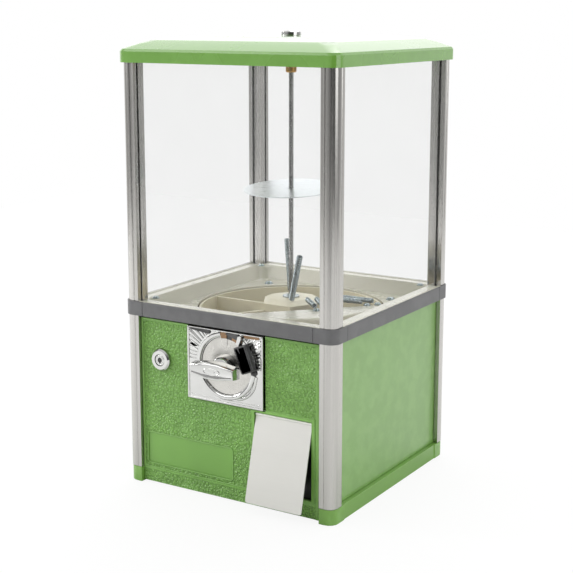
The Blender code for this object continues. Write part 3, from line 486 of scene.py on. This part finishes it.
def coil_tree():
    """A close-wound spring: a wire swept along a helix."""
    tree, given = geometry_tree(
        "close_wound_coil",
        [
            ("Coil Radius", "Float", 0.0023),
            ("Wire Radius", "Float", 0.00045),
            ("Length", "Float", 0.05),
            ("Turns", "Float", 50.0),
            ("Material", "Material", None),
        ],
    )
    helix = put(
        tree,
        "GeometryNodeCurveSpiral",
        {
            "Resolution": 14,
            "Rotations": given.outputs["Turns"],
            "Start Radius": given.outputs["Coil Radius"],
            "End Radius": given.outputs["Coil Radius"],
            "Height": given.outputs["Length"],
        },
    )
    wire = put(tree, "GeometryNodeCurvePrimitiveCircle", {"Resolution": 6, "Radius": given.outputs["Wire Radius"]})
    swept = put(
        tree,
        "GeometryNodeCurveToMesh",
        {"Curve": helix.outputs[0], "Profile Curve": wire.outputs[0], "Fill Caps": True},
    )
    close_tree(tree, swept.outputs[0], given)
    return tree


def scatter_tree():
    """Copies of a fastener standing on marked points."""
    tree, given = geometry_tree(
        "set_fasteners",
        [
            ("Fastener", "Object", None),
            ("Size", "Float", 1.0),
            ("Spin", "Float", 6.28),
            ("Material", "Material", None),
        ],
    )
    aim = put(tree, "GeometryNodeInputNamedAttribute", {"Name": "aim"}, data_type="FLOAT_VECTOR")
    turn = put(tree, "FunctionNodeAlignRotationToVector", {"Vector": aim.outputs[0]}, axis="Z")
    spin = put(tree, "FunctionNodeRandomValue", {2: 0.0, 3: given.outputs["Spin"], "Seed": 4}, data_type="FLOAT")
    about = put(tree, "FunctionNodeAxisAngleToRotation", {"Axis": (0, 0, 1), "Angle": spin.outputs[1]})
    both = put(
        tree,
        "FunctionNodeRotateRotation",
        {"Rotation": turn.outputs[0], "Rotate By": about.outputs[0]},
        rotation_space="LOCAL",
    )
    shape = put(tree, "GeometryNodeObjectInfo", {"Object": given.outputs["Fastener"]})
    stretch = put(tree, "GeometryNodeInputNamedAttribute", {"Name": "stretch"}, data_type="FLOAT_VECTOR")
    size = put(
        tree,
        "ShaderNodeVectorMath",
        {0: stretch.outputs[0], "Scale": given.outputs["Size"]},
        operation="SCALE",
    )
    copies = put(
        tree,
        "GeometryNodeInstanceOnPoints",
        {
            "Points": given.outputs[0],
            "Instance": shape.outputs["Geometry"],
            "Rotation": both.outputs[0],
            "Scale": size.outputs[0],
        },
    )
    close_tree(tree, copies.outputs[0], given)
    return tree


coil = coil_tree()
fasteners = scatter_tree()


def points_mesh(places):
    """Loose points with the direction that each copy faces and its stretch."""
    mesh = bpy.data.meshes.new("places")
    mesh.from_pydata([Vector(place[0]) * MM for place in places], [], [])
    aim = mesh.attributes.new("aim", "FLOAT_VECTOR", "POINT")
    stretch = mesh.attributes.new("stretch", "FLOAT_VECTOR", "POINT")
    for index, place in enumerate(places):
        aim.data[index].vector = place[1]
        stretch.data[index].vector = place[2] if len(place) > 2 else (1, 1, 1)
    return mesh


def as_object(bm, name, smooth=True, scale=MM):
    bmesh.ops.remove_doubles(bm, verts=bm.verts, dist=0.0005)
    bmesh.ops.recalc_face_normals(bm, faces=bm.faces)
    bmesh.ops.scale(bm, vec=(scale, scale, scale), verts=bm.verts)
    mesh = bpy.data.meshes.new(name)
    bm.to_mesh(mesh)
    bm.free()
    if smooth:
        mesh.shade_smooth()
        mesh.set_sharp_from_angle(angle=math.radians(35))
    piece = bpy.data.objects.new(name, mesh)
    bpy.context.scene.collection.objects.link(piece)
    return piece


def loft(rings, closed=False):
    """Skin over rings of equal point counts; capped at both ends, or joined end to end."""
    bm = bmesh.new()
    rows = [[bm.verts.new(p) for p in ring] for ring in rings]
    pairs = list(zip(rows, rows[1:])) + ([(rows[-1], rows[0])] if closed else [])
    for low, high in pairs:
        for i in range(len(low)):
            j = (i + 1) % len(low)
            bm.faces.new((low[i], low[j], high[j], high[i]))
    if not closed:
        bm.faces.new(rows[0][::-1])
        bm.faces.new(rows[-1])
    return bm


def turned(profile, sides):
    """Closed turned shape about Z from (radius, height) pairs, in millimetres."""
    turns = [2 * math.pi * i / sides for i in range(sides)]
    return loft([[(radius * math.cos(t), radius * math.sin(t), height) for t in turns] for radius, height in profile])


def screw_head():
    """Pan head with a cross recess, standing on a flat washer."""
    washer = [(3.9, 0.0), (3.9, 0.55), (3.7, 0.7), (1.0, 0.7)]
    dome = [(2.9, 0.7), (3.0, 1.1), (2.75, 1.7), (2.1, 2.2), (1.1, 2.42), (0.3, 2.45)]
    head = as_object(turned(washer + dome, 24), "screw_head_shape", scale=1.0)
    for turn in (0, 90):
        slot = bmesh.new()
        bmesh.ops.create_cube(slot, size=1.0)
        bmesh.ops.scale(slot, vec=(3.0, 0.62, 2.4), verts=slot.verts)
        bmesh.ops.rotate(slot, matrix=Matrix.Rotation(math.radians(turn), 3, "Z"), verts=slot.verts)
        bmesh.ops.translate(slot, vec=(0, 0, 2.7), verts=slot.verts)
        tool = as_object(slot, "recess", False, 1.0)
        cut = head.modifiers.new("recess", "BOOLEAN")
        cut.object = tool
        cut.operation = "DIFFERENCE"
        bpy.context.view_layer.update()
        mesh = bpy.data.meshes.new_from_object(head.evaluated_get(bpy.context.evaluated_depsgraph_get()))
        head.modifiers.clear()
        head.data = mesh
        bpy.data.objects.remove(tool, do_unlink=True)
    head.data.transform(Matrix.Scale(MM, 4))
    head.hide_render = True
    return head


def finish_piece(piece, body, replaced=()):
    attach(piece, body)
    if replaced:
        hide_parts(*replaced)
    return piece


def spring(name, body, start, end, radius, wire):
    """A coil between two points, in millimetres."""
    start, end = Vector(start), Vector(end)
    length = (end - start).length
    piece = grow(
        name + "_coil",
        coil,
        {
            "Coil Radius": (radius - wire) * MM,
            "Wire Radius": wire * MM,
            "Length": (length - 2 * wire) * MM,
            "Turns": (length - 2 * wire) / (wire * 2.12),
            "Material": bright_zinc,
        },
    )
    turn = (end - start).to_track_quat("Z", "Y").to_matrix().to_4x4()
    along = (end - start).normalized() * wire
    piece.data.transform(Matrix.Translation((start + along) * MM) @ turn)
    finish_piece(piece, body, [name])


# Springs, in millimetres: where they stand, their size and the wire's.
AGITATOR_LEAN = math.radians(30)
AGITATOR_OUT, AGITATOR_FOOT, AGITATOR_LENGTH = 22.8, 192.0, 60
AGITATOR_R, AGITATOR_WIRE = 3.25, 0.55
STRIKE_Z, STRIKE_R, STRIKE_WIRE = 193.5, 2.75, 0.5


def place_springs():
    """Two springs that stand on the wheel's hub and four that lie under the brush."""
    for letter, foot, heading in (("a", -57.0, -42.0), ("b", 123.0, 129.0)):
        out, away = (Vector((math.cos(math.radians(t)), math.sin(math.radians(t)), 0)) for t in (foot, heading))
        begin = out * AGITATOR_OUT + Vector((0, 0, AGITATOR_FOOT))
        rise = away * math.sin(AGITATOR_LEAN) + Vector((0, 0, math.cos(AGITATOR_LEAN)))
        end = begin + rise * AGITATOR_LENGTH
        spring("agitator_spring_" + letter, "wheel", begin, end, AGITATOR_R, AGITATOR_WIRE)
    ends = {
        "a": ((52.0, -38.0), (30.2, -16.5)),
        "b": ((57.5, -31.5), (37.5, -9.5)),
        "c": ((84.0, 5.0), (42.0, -1.5)),
        "d": ((92.0, 14.4), (47.5, 11.5)),
    }
    for letter, (outer, inner) in ends.items():
        start_at, end_at = (*outer, STRIKE_Z), (*inner, STRIKE_Z)
        spring("strike_spring_" + letter, "cabinet", start_at, end_at, STRIKE_R, STRIKE_WIRE)


place_springs()


# Screws, in millimetres: the heights that they stand at and the places that they take.
TRAY_FLOOR_Z, TRAY_FLANGE_Z, BRUSH_Z = 181.0, 195.3, 190.0
FLOOR_SCREW, FLANGE_SCREW_X, FLANGE_SCREW_Y = 79, 103.5, 101.5
FLOOR_SCREW_SIZE = (1.35, 1.35, 1.1)
BRUSH_SCREWS = ((56.5, -42.4), (64.0, -36.5), (89.0, 5.8), (97.0, 14.7))


def place_screws():
    head = screw_head()
    up = (0, 0, 1)
    places = []
    for sx in (-1, 1):
        for sy in (-1, 1):
            places.append(((sx * FLOOR_SCREW, sy * FLOOR_SCREW, TRAY_FLOOR_Z), up, FLOOR_SCREW_SIZE))
    for sx, sy in ((-1, 1), (1, 1), (-1, -1)):
        places.append(((sx * FLANGE_SCREW_X, sy * FLANGE_SCREW_Y, TRAY_FLANGE_Z), up))
    places += [((x, y, BRUSH_Z), up) for x, y in BRUSH_SCREWS]
    screws = grow(
        "tray_screws",
        fasteners,
        {"Fastener": head, "Size": 1.0, "Spin": 6.28, "Material": bright_zinc},
        points_mesh(places),
    )
    finish_piece(screws, "cabinet")
    bpy.data.objects.remove(head, do_unlink=True)


place_screws()


# ---------------------------------------------------------------- coin mechanism


PLATE_LOW, PLATE_HIGH = (Vector(v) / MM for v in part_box("mech_faceplate"))
DIAL_LOW, DIAL_HIGH = (Vector(v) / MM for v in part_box("coin_dial"))
GRIP_LOW, GRIP_HIGH = (Vector(v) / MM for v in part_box("turn_handle"))
AXIS = ((DIAL_LOW.x + DIAL_HIGH.x) / 2, (DIAL_LOW.z + DIAL_HIGH.z) / 2)
PLATE_Y = PLATE_LOW.y + 0.3  # front of the raised border
SHEET_Y = PLATE_Y + 0.7  # front of the sheet inside the border
SUNK = 0.4  # how far the foot of an applied bar goes into the face behind
RIM_Y = PLATE_Y - 0.3


def swept(path, profile, closed=True):
    """A profile of (out, up) pairs carried along an x-z path; up is towards the front."""
    count = len(path)
    rings = []
    for i, (x, z, y) in enumerate(path):
        before = path[i - 1] if i or closed else path[i]
        after = path[(i + 1) % count] if i + 1 < count or closed else path[i]
        run = Vector((after[0] - before[0], after[1] - before[1]))
        run.normalize()
        side = Vector((run.y, -run.x))
        rings.append([(x + side.x * a, y - b, z + side.y * a) for a, b in profile])
    return loft(rings, closed)


def round_rect(x0, x1, z0, z1, radius, y, steps=5):
    """Rounded rectangle path as (x, z, y) points."""
    out = []
    for cx, cz, begin in ((x1, z1, 0), (x0, z1, 90), (x0, z0, 180), (x1, z0, 270)):
        sx, sz = (-1 if cx == x1 else 1), (-1 if cz == z1 else 1)
        for i in range(steps + 1):
            turn = math.radians(begin + 90 * i / steps)
            out.append((cx + sx * radius + radius * math.cos(turn), cz + sz * radius + radius * math.sin(turn), y))
    return out


def round_bar(width, height, steps=6):
    """Half-round cross-section, its foot sunk a little into the face behind."""
    turns = [math.pi * i / steps for i in range(steps + 1)]
    arc = [(width / 2 * math.cos(t), height * math.sin(t)) for t in turns]
    return [(width / 2, -SUNK), *arc, (-width / 2, -SUNK)]


def arc_path(radius, begin, end, y, steps):
    """Part of a circle about the mechanism's axis, between two angles in degrees."""
    out = []
    for i in range(steps + 1):
        turn = math.radians(begin + (end - begin) * i / steps)
        out.append((AXIS[0] + radius * math.cos(turn), AXIS[1] + radius * math.sin(turn), y))
    return out


def painted(bm, name, material, body, slot, smooth=True):
    """Ends a piece made in mesh code: its material and body. The slot argument is not used."""
    piece = as_object(bm, name, smooth)
    piece.data.materials.append(material)
    return finish_piece(piece, body)


def rib_shape():
    """A tapering ridge one millimetre long, lying along its own Z."""
    section = ((-0.75, -0.5), (0.75, -0.5), (0.5, 0.4), (0, 0.75), (-0.5, 0.4))
    rings = []
    for z, width, height in ((0.0, 0.5, 0.35), (0.08, 0.6, 0.6), (0.92, 1.0, 0.95), (1.0, 0.9, 0.5)):
        rings.append([(a * width, b * height, z) for a, b in section])
    shape = as_object(loft(rings), "rib_shape", False, 1.0)
    shape.data.transform(Matrix.Scale(MM, 4))
    return shape


RAY_START, RAY_LEAST, RAY_MARGIN = 37.0, 39.5, 2.6


def rays():
    """Where the ribs of the sunburst lie: beside the ring, out to the border."""
    out = []
    for begin, end, count in ((118, 176, 12), (2, 52, 11)):
        for i in range(count):
            turn = math.radians(begin + (end - begin) * i / (count - 1))
            along = Vector((math.cos(turn), 0, math.sin(turn)))
            wall = PLATE_HIGH.x - RAY_MARGIN - AXIS[0] if along.x > 0 else AXIS[0] - PLATE_LOW.x - RAY_MARGIN
            roof = PLATE_HIGH.z - RAY_MARGIN - AXIS[1]
            reach = min(wall / max(abs(along.x), 0.01), roof / max(along.z, 0.01))
            if reach > RAY_LEAST:
                out.append((along, reach))
    return out


def make_ribs():
    """Ribs set on points by the fastener tree with its random spin switched off."""
    shape = rib_shape()
    places = []
    for along, reach in rays():
        place = (AXIS[0] + along.x * RAY_START, SHEET_Y - 0.05, AXIS[1] + along.z * RAY_START)
        places.append((place, along, (1.0, 1.0, reach - RAY_START)))
    ribs = grow(
        "faceplate_sunburst",
        fasteners,
        {"Fastener": shape, "Size": 1.0, "Spin": 0.0, "Material": bright_chrome},
        points_mesh(places),
    )
    finish_piece(ribs, "cabinet")
    bpy.data.objects.remove(shape, do_unlink=True)


def inside_plate(dx, dz, y):
    """Path inside the faceplate's edge, drawn in by dx and dz."""
    return round_rect(PLATE_LOW.x + dx, PLATE_HIGH.x - dx, PLATE_LOW.z + dz, PLATE_HIGH.z - dz, 1.0, y)


def make_plate():
    """Raised border and line of the faceplate, the dial's rim and guard, and the coin's guides."""
    border = swept(inside_plate(0.9, 0.9, PLATE_Y), round_bar(1.9, 0.28))
    painted(border, "faceplate_border", bright_chrome, "cabinet", "chrome_plate")
    lower = [p for p in inside_plate(4.4, 4.2, SHEET_Y) if p[1] < AXIS[1] - 24]
    painted(swept(lower, round_bar(0.8, 0.4), False), "faceplate_line", bright_chrome, "cabinet", "chrome_plate")
    rim = arc_path(32.6, 100, 352, RIM_Y, 84)
    wide = [(2.35, -SUNK), (2.3, 0.5), (1.6, 1.3), (0.3, 1.55), (-1.2, 1.35), (-2.2, 0.5), (-2.35, -SUNK)]
    painted(swept(rim, wide, False), "dial_rim", bright_chrome, "cabinet", "chrome_plate")
    crescent = []
    for i in range(25):
        share = i / 24
        turn = math.radians(292 + 58 * share)
        radius = 35.2 + 2.6 * math.sin(math.pi * min(1.0, share * 1.15) / 1.15)
        crescent.append((AXIS[0] + radius * math.cos(turn), AXIS[1] + radius * math.sin(turn), SHEET_Y))
    painted(swept(crescent, round_bar(3.4, 1.7), False), "dial_guard", bright_chrome, "cabinet", "chrome_plate")
    guide = [(3.1, -SUNK), (3.0, 0.9), (2.4, 1.4), (-2.6, 1.2), (-3.1, 0.4), (-3.1, -SUNK)]
    for name, begin, end in (("near", 86.5, 99.5), ("far", 54.0, 74.0)):
        block = swept(arc_path(31.4, begin, end, RIM_Y, 12), guide, False)
        painted(block, "coin_guide_" + name, aged_bronze, "cabinet", "chrome_plate")
    flat = [(2.9, -SUNK), (2.9, 0.5), (-2.9, 0.5), (-2.9, -SUNK)]
    slot = swept(arc_path(31.0, 74.6, 86.0, RIM_Y, 8), flat, False)
    painted(slot, "coin_slot_shadow", black_moulding, "cabinet", "black_plastic")


def blocky(corners, y_back, y_front, chamfer=0.5):
    """Flat block over an x-z outline with a chamfered front."""
    cx = sum(p[0] for p in corners) / len(corners)
    cz = sum(p[1] for p in corners) / len(corners)
    rings = []
    for y, inset in ((y_back, 0.0), (y_front + chamfer, 0.0), (y_front, chamfer)):
        ring = []
        for x, z in corners:
            run = Vector((x - cx, z - cz))
            share = 1 - inset / max(run.length, 0.1)
            ring.append((cx + run.x * share, y, cz + run.y * share))
        rings.append(ring)
    return loft(rings)


def from_axis(points):
    return [(AXIS[0] + x, AXIS[1] + z) for x, z in points]


def face_front(bm, place):
    """Turns an upright shape to look out of the front, and moves it to its place."""
    bmesh.ops.rotate(bm, matrix=Matrix.Rotation(math.radians(90), 3, "X"), verts=bm.verts)
    bmesh.ops.translate(bm, vec=place, verts=bm.verts)


def make_brackets():
    """Small parts round the coin slot: outlines about the axis, and how far each stands proud of the border."""
    parts = (
        ("coin_bracket_upper", black_moulding, "black_plastic", 2.6,
         [(0.5, 33.4), (14.5, 28.6), (16.0, 31.6), (15.0, 34.4), (2.0, 34.8)]),
        ("coin_bracket_fork", bright_chrome, "chrome_plate", 4.2,
         [(14.2, 24.6), (17.4, 23.2), (21.0, 31.0), (19.5, 34.0), (16.6, 33.2)]),
        ("coin_bracket_shelf", aged_bronze, "chrome_plate", 0.9,
         [(21.0, 34.4), (40.0, 34.4), (39.0, 31.8), (22.5, 31.6)]),
        ("plate_top_ledge", grey_inner, "black_plastic", 0.9,
         [(-46.0, 34.4), (-18.0, 34.4), (-20.0, 30.4), (-43.0, 32.6)]),
    )
    for name, material, slot, proud, outline in parts:
        block = blocky(from_axis(outline), SHEET_Y, PLATE_Y - proud)
        painted(block, name, material, "cabinet", slot, smooth=False)
    knob = turned([(3.4, 0), (3.4, 1.6), (2.6, 2.6), (1.0, 3.1)], 20)
    face_front(knob, (AXIS[0] + 33.0, SHEET_Y + 0.2, AXIS[1] - 2.6))
    painted(knob, "reject_button", black_moulding, "cabinet", "black_plastic")


def grip_ring(y, inset):
    """Outline of the handle's grip at a depth, drawn in by an inset."""
    half = (GRIP_HIGH.x - GRIP_LOW.x) / 2
    tall, end = 8.5, 5.5
    shape = [(-half, -end), (-7, -tall), (7, -tall), (half, -end), (half, end), (7, tall), (-7, tall), (-half, end)]
    out = []
    for x, z in shape:
        sx = 1 - inset / half
        sz = 1 - inset / (tall if abs(x) < half else end)
        out.append((AXIS[0] + x * sx, y, AXIS[1] + z * sz))
    return out


def make_handle():
    """The grip with its oval and bar, and the boss that joins it to the dial."""
    front, back = GRIP_LOW.y, GRIP_LOW.y + 12.0
    rings = [grip_ring(back, 1.0), grip_ring(back - 0.8, 0.0), grip_ring(back - 6.0, 0.15)]
    shoulder = ((1.3, 0.6), (0.5, 0.8), (0.1, 1.3), (0.0, 1.8), (0.1, 2.3), (0.7, 2.7), (0.9, 3.2))
    rings += [grip_ring(front + deep, inset) for deep, inset in shoulder]
    grip = as_object(loft(rings), "turn_handle_grip", False)
    grip.data.shade_smooth()
    grip.data.set_sharp_from_angle(angle=math.radians(28))
    grip.data.materials.append(bright_chrome)
    finish_piece(grip, "handle", ["turn_handle"])
    oval = []
    for i in range(40):
        turn = 2 * math.pi * i / 40
        oval.append((AXIS[0] + 9.5 * math.cos(turn), AXIS[1] + 3.3 * math.sin(turn), front + 0.9))
    painted(swept(oval, round_bar(0.8, 0.5)), "turn_handle_oval", bright_chrome, "handle", "chrome_plate")
    bar = from_axis([(-3.2, -0.7), (3.2, -0.7), (4.4, 0.0), (3.2, 0.7), (-3.2, 0.7), (-4.4, 0.0)])
    mark = blocky(bar, front + 1.2, front + 0.4, 0.3)
    painted(mark, "turn_handle_mark", bright_chrome, "handle", "chrome_plate")
    reach = DIAL_LOW.y - back
    taper = [(12.4, reach * 0.25), (11.9, reach * 0.5), (11.0, reach * 0.72), (9.4, reach * 0.9)]
    boss = turned([(12.6, 0.3), *taper, (7.0, reach + 0.6)], 48)
    face_front(boss, (AXIS[0], DIAL_LOW.y, AXIS[1]))
    painted(boss, "turn_handle_boss", bright_chrome, "handle", "chrome_plate")


make_plate()
make_ribs()
make_brackets()
make_handle()


# ---------------------------------------------------------------- door beads


FIELD_TOP, OPENING_TOP = 176.6, 103.4


def down_right(points):
    """The right half of a path, from the top down."""
    return sorted(points, key=lambda p: (-p[1], p[0]))


def up_left(points):
    """The left half of a path, from the bottom up."""
    return sorted(points, key=lambda p: (p[1], -p[0]))


def make_beads():
    """Thin raised lines on the door: round the label, the opening and the whole field."""
    face = DOOR_SKIN_Y / MM
    gap_left, gap_right = PLATE_LOW.x - 2.4, PLATE_HIGH.x + 2.4
    label = round_rect(-102.6, 5.3, 21.9, 56.1, 3.0, face)
    painted(swept(label, round_bar(1.3, 0.5)), "label_bead", green_bead, "door", "green_door")
    around = round_rect(27.9, 101.7, 15.9, OPENING_TOP, 1.6, face)
    opening = [(gap_right + 1.5, OPENING_TOP, face), *down_right([p for p in around if p[0] > 60])]
    painted(swept(opening, round_bar(1.2, 0.6), False), "opening_bead", green_bead, "door", "green_door")
    edge = round_rect(-106.3, 103.4, 17.6, FIELD_TOP, 1.6, face)
    field = [(gap_right, FIELD_TOP, face), *down_right([p for p in edge if p[0] > 0])]
    field += [*up_left([p for p in edge if p[0] < 0]), (gap_left, FIELD_TOP, face)]
    painted(swept(field, round_bar(1.2, 0.55), False), "field_bead", green_bead, "door", "green_door")


make_beads()


LIP_OUT, LIP_HALF = 123.3, 108.2  # the lip's distance from the middle, and half its length


def make_lip():
    """Rounded lip of the tray that laps the inside edge of the band."""
    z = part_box("hopper_tray")[1][2] / MM
    out, half = LIP_OUT, LIP_HALF
    for number, (sx, sy) in enumerate(((1, 0), (-1, 0), (0, 1), (0, -1))):
        ends = [(sx * out - sy * side * half, sy * out + sx * side * half, -z) for side in (-1, 1)]
        lip = swept(ends, round_bar(3.2, 0.95), False)
        for vertex in lip.verts:
            x, y, height = vertex.co
            vertex.co = (x, height, -y)
        painted(lip, f"tray_lip_{number}", cream_tray, "cabinet", "cream_tray")


def keyhole(name, centre, body, looks_up):
    """Key slot of a cam lock, an eye with a blade slot drawn as a black slab of painted shade; one that looks forward
    has a ring round it.
    """
    eye = [(1.9 * math.cos(math.radians(t)), 1.9 * math.sin(math.radians(t)) + 1.1) for t in range(-50, 231, 20)]
    shape = [(0.8, -3.6), *eye, (-0.8, -3.6)]
    x, y, z = centre
    rings = [[(x + a, y + depth, z + b) for a, b in shape] for depth in (0.5, -0.12)]
    turns = [2 * math.pi * i / 36 for i in range(36)]
    ring = [(x + 4.1 * math.cos(t), z + 4.1 * math.sin(t), y) for t in turns]
    # The black keyhole shape is painted shade, a dark slab put where the key slot's inner shade shows.
    pieces = [("_keyhole", loft(rings), black_moulding, "black_plastic")]
    if not looks_up:
        pieces.append(("_ring", swept(ring, round_bar(0.7, 0.3)), bright_chrome, "chrome_plate"))
    for suffix, bm, material, slot in pieces:
        if looks_up:
            for vertex in bm.verts:
                a, b, c = vertex.co
                vertex.co = (a, c - z, z - (b - y))
        painted(bm, name + suffix, material, body, slot)


def make_keyholes():
    low, high = (Vector(v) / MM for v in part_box("door_lock_plug"))
    keyhole("door_lock", ((low.x + high.x) / 2, low.y + 0.1, (low.z + high.z) / 2), "door_lock", False)
    keyhole("lid_lock", (0, 0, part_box("lid_lock_plug")[1][2] / MM - 0.2), "lid_lock", True)


make_lip()
make_keyholes()


# ---------------------------------------------------------------- camera, light and floor


def make_camera():
    data = bpy.data.cameras.new("camera")
    data.sensor_width = 36.0
    data.lens = 79.745
    data.shift_y = -0.0602
    camera = bpy.data.objects.new("camera", data)
    camera.location = (0.69683, -1.12981, 0.490)
    camera.rotation_euler = (math.radians(90 - 10.73), 0, math.radians(31.875))
    bpy.context.scene.collection.objects.link(camera)
    bpy.context.scene.camera = camera


def soft_light(name, place, target, size, power):
    data = bpy.data.lights.new(name, "AREA")
    data.shape = "RECTANGLE"
    data.size, data.size_y = size
    data.energy = power
    light = bpy.data.objects.new(name, data)
    light.location = place
    light.rotation_euler = (Vector(target) - Vector(place)).to_track_quat("-Z", "Y").to_euler()
    bpy.context.scene.collection.objects.link(light)


def make_world():
    """White to the eye; in reflections a bright sweep behind the machine and a dimmer room before it."""
    world = bpy.data.worlds.new("studio")
    world.use_nodes = True
    tree = world.node_tree
    background = tree.nodes["Background"]
    direction = put(tree, "ShaderNodeTexCoord").outputs["Generated"]
    split = put(tree, "ShaderNodeSeparateXYZ", {0: direction})
    sweep = put(tree, "ShaderNodeVectorMath", {0: direction, 1: (-0.5, 0.86, 0.1)}, operation="DOT_PRODUCT")
    behind = ramp(tree, sweep.outputs["Value"], 0.3, 0.95, 0.45, 1.35)
    above = ramp(tree, split.outputs["Z"], 0.1, 0.9, 0.0, 0.35)
    glow = maths(tree, "ADD", behind, above)
    facing = put(tree, "ShaderNodeVectorMath", {0: direction, 1: (0.52, -0.85, 0.05)}, operation="DOT_PRODUCT")
    dark = ramp(tree, facing.outputs["Value"], 0.62, 0.93, 1.0, 0.12)
    glow = maths(tree, "MULTIPLY", glow, dark)
    path = put(tree, "ShaderNodeLightPath").outputs["Is Camera Ray"]
    tone = put(tree, "ShaderNodeCombineXYZ", {i: glow for i in range(3)}).outputs[0]
    colour = blend_colour(tree, path, tone, (1.0, 1.0, 1.0, 1.0))
    tree.links.new(colour, background.inputs["Color"])
    background.inputs["Strength"].default_value = 1.0
    bpy.context.scene.world = world


def make_floor():
    bm = bmesh.new()
    bmesh.ops.create_grid(bm, x_segments=1, y_segments=1, size=1.6)
    floor = as_object(bm, "floor", False, 1.0)
    paper, tree, shader = start("white_paper", 0.8)
    shader.inputs["Specular IOR Level"].default_value = 0.1
    tone = noise(tree, object_place(tree), 3.0, 2.0)
    body = blend_colour(tree, tone, (0.86, 0.86, 0.86, 1.0), (0.9, 0.9, 0.9, 1.0))
    seen = put(tree, "ShaderNodeLightPath").outputs["Is Camera Ray"]
    body = blend_colour(tree, seen, body, (0.08, 0.08, 0.08, 1.0))
    tree.links.new(body, shader.inputs["Base Color"])
    shader.inputs["Emission Color"].default_value = (1.0, 1.0, 1.0, 1.0)
    tree.links.new(maths(tree, "MULTIPLY", seen, 0.895), shader.inputs["Emission Strength"])
    floor.data.materials.append(paper)


make_camera()
make_world()
make_floor()
soft_light("front_left_box", (-1.0, -1.5, 1.3), (0, 0, 0.2), (1.2, 1.2), 9)
soft_light("side_key", (-1.5, -0.75, 0.75), (0, -0.1, 0.15), (0.3, 0.3), 9)
soft_light("right_box", (1.9, -0.4, 0.9), (0, 0, 0.2), (1.2, 1.4), 10)
soft_light("top_box", (0.1, 0.6, 1.8), (0, 0, 0.4), (1.6, 1.6), 12)
bpy.context.scene.view_settings.view_transform = "Standard"
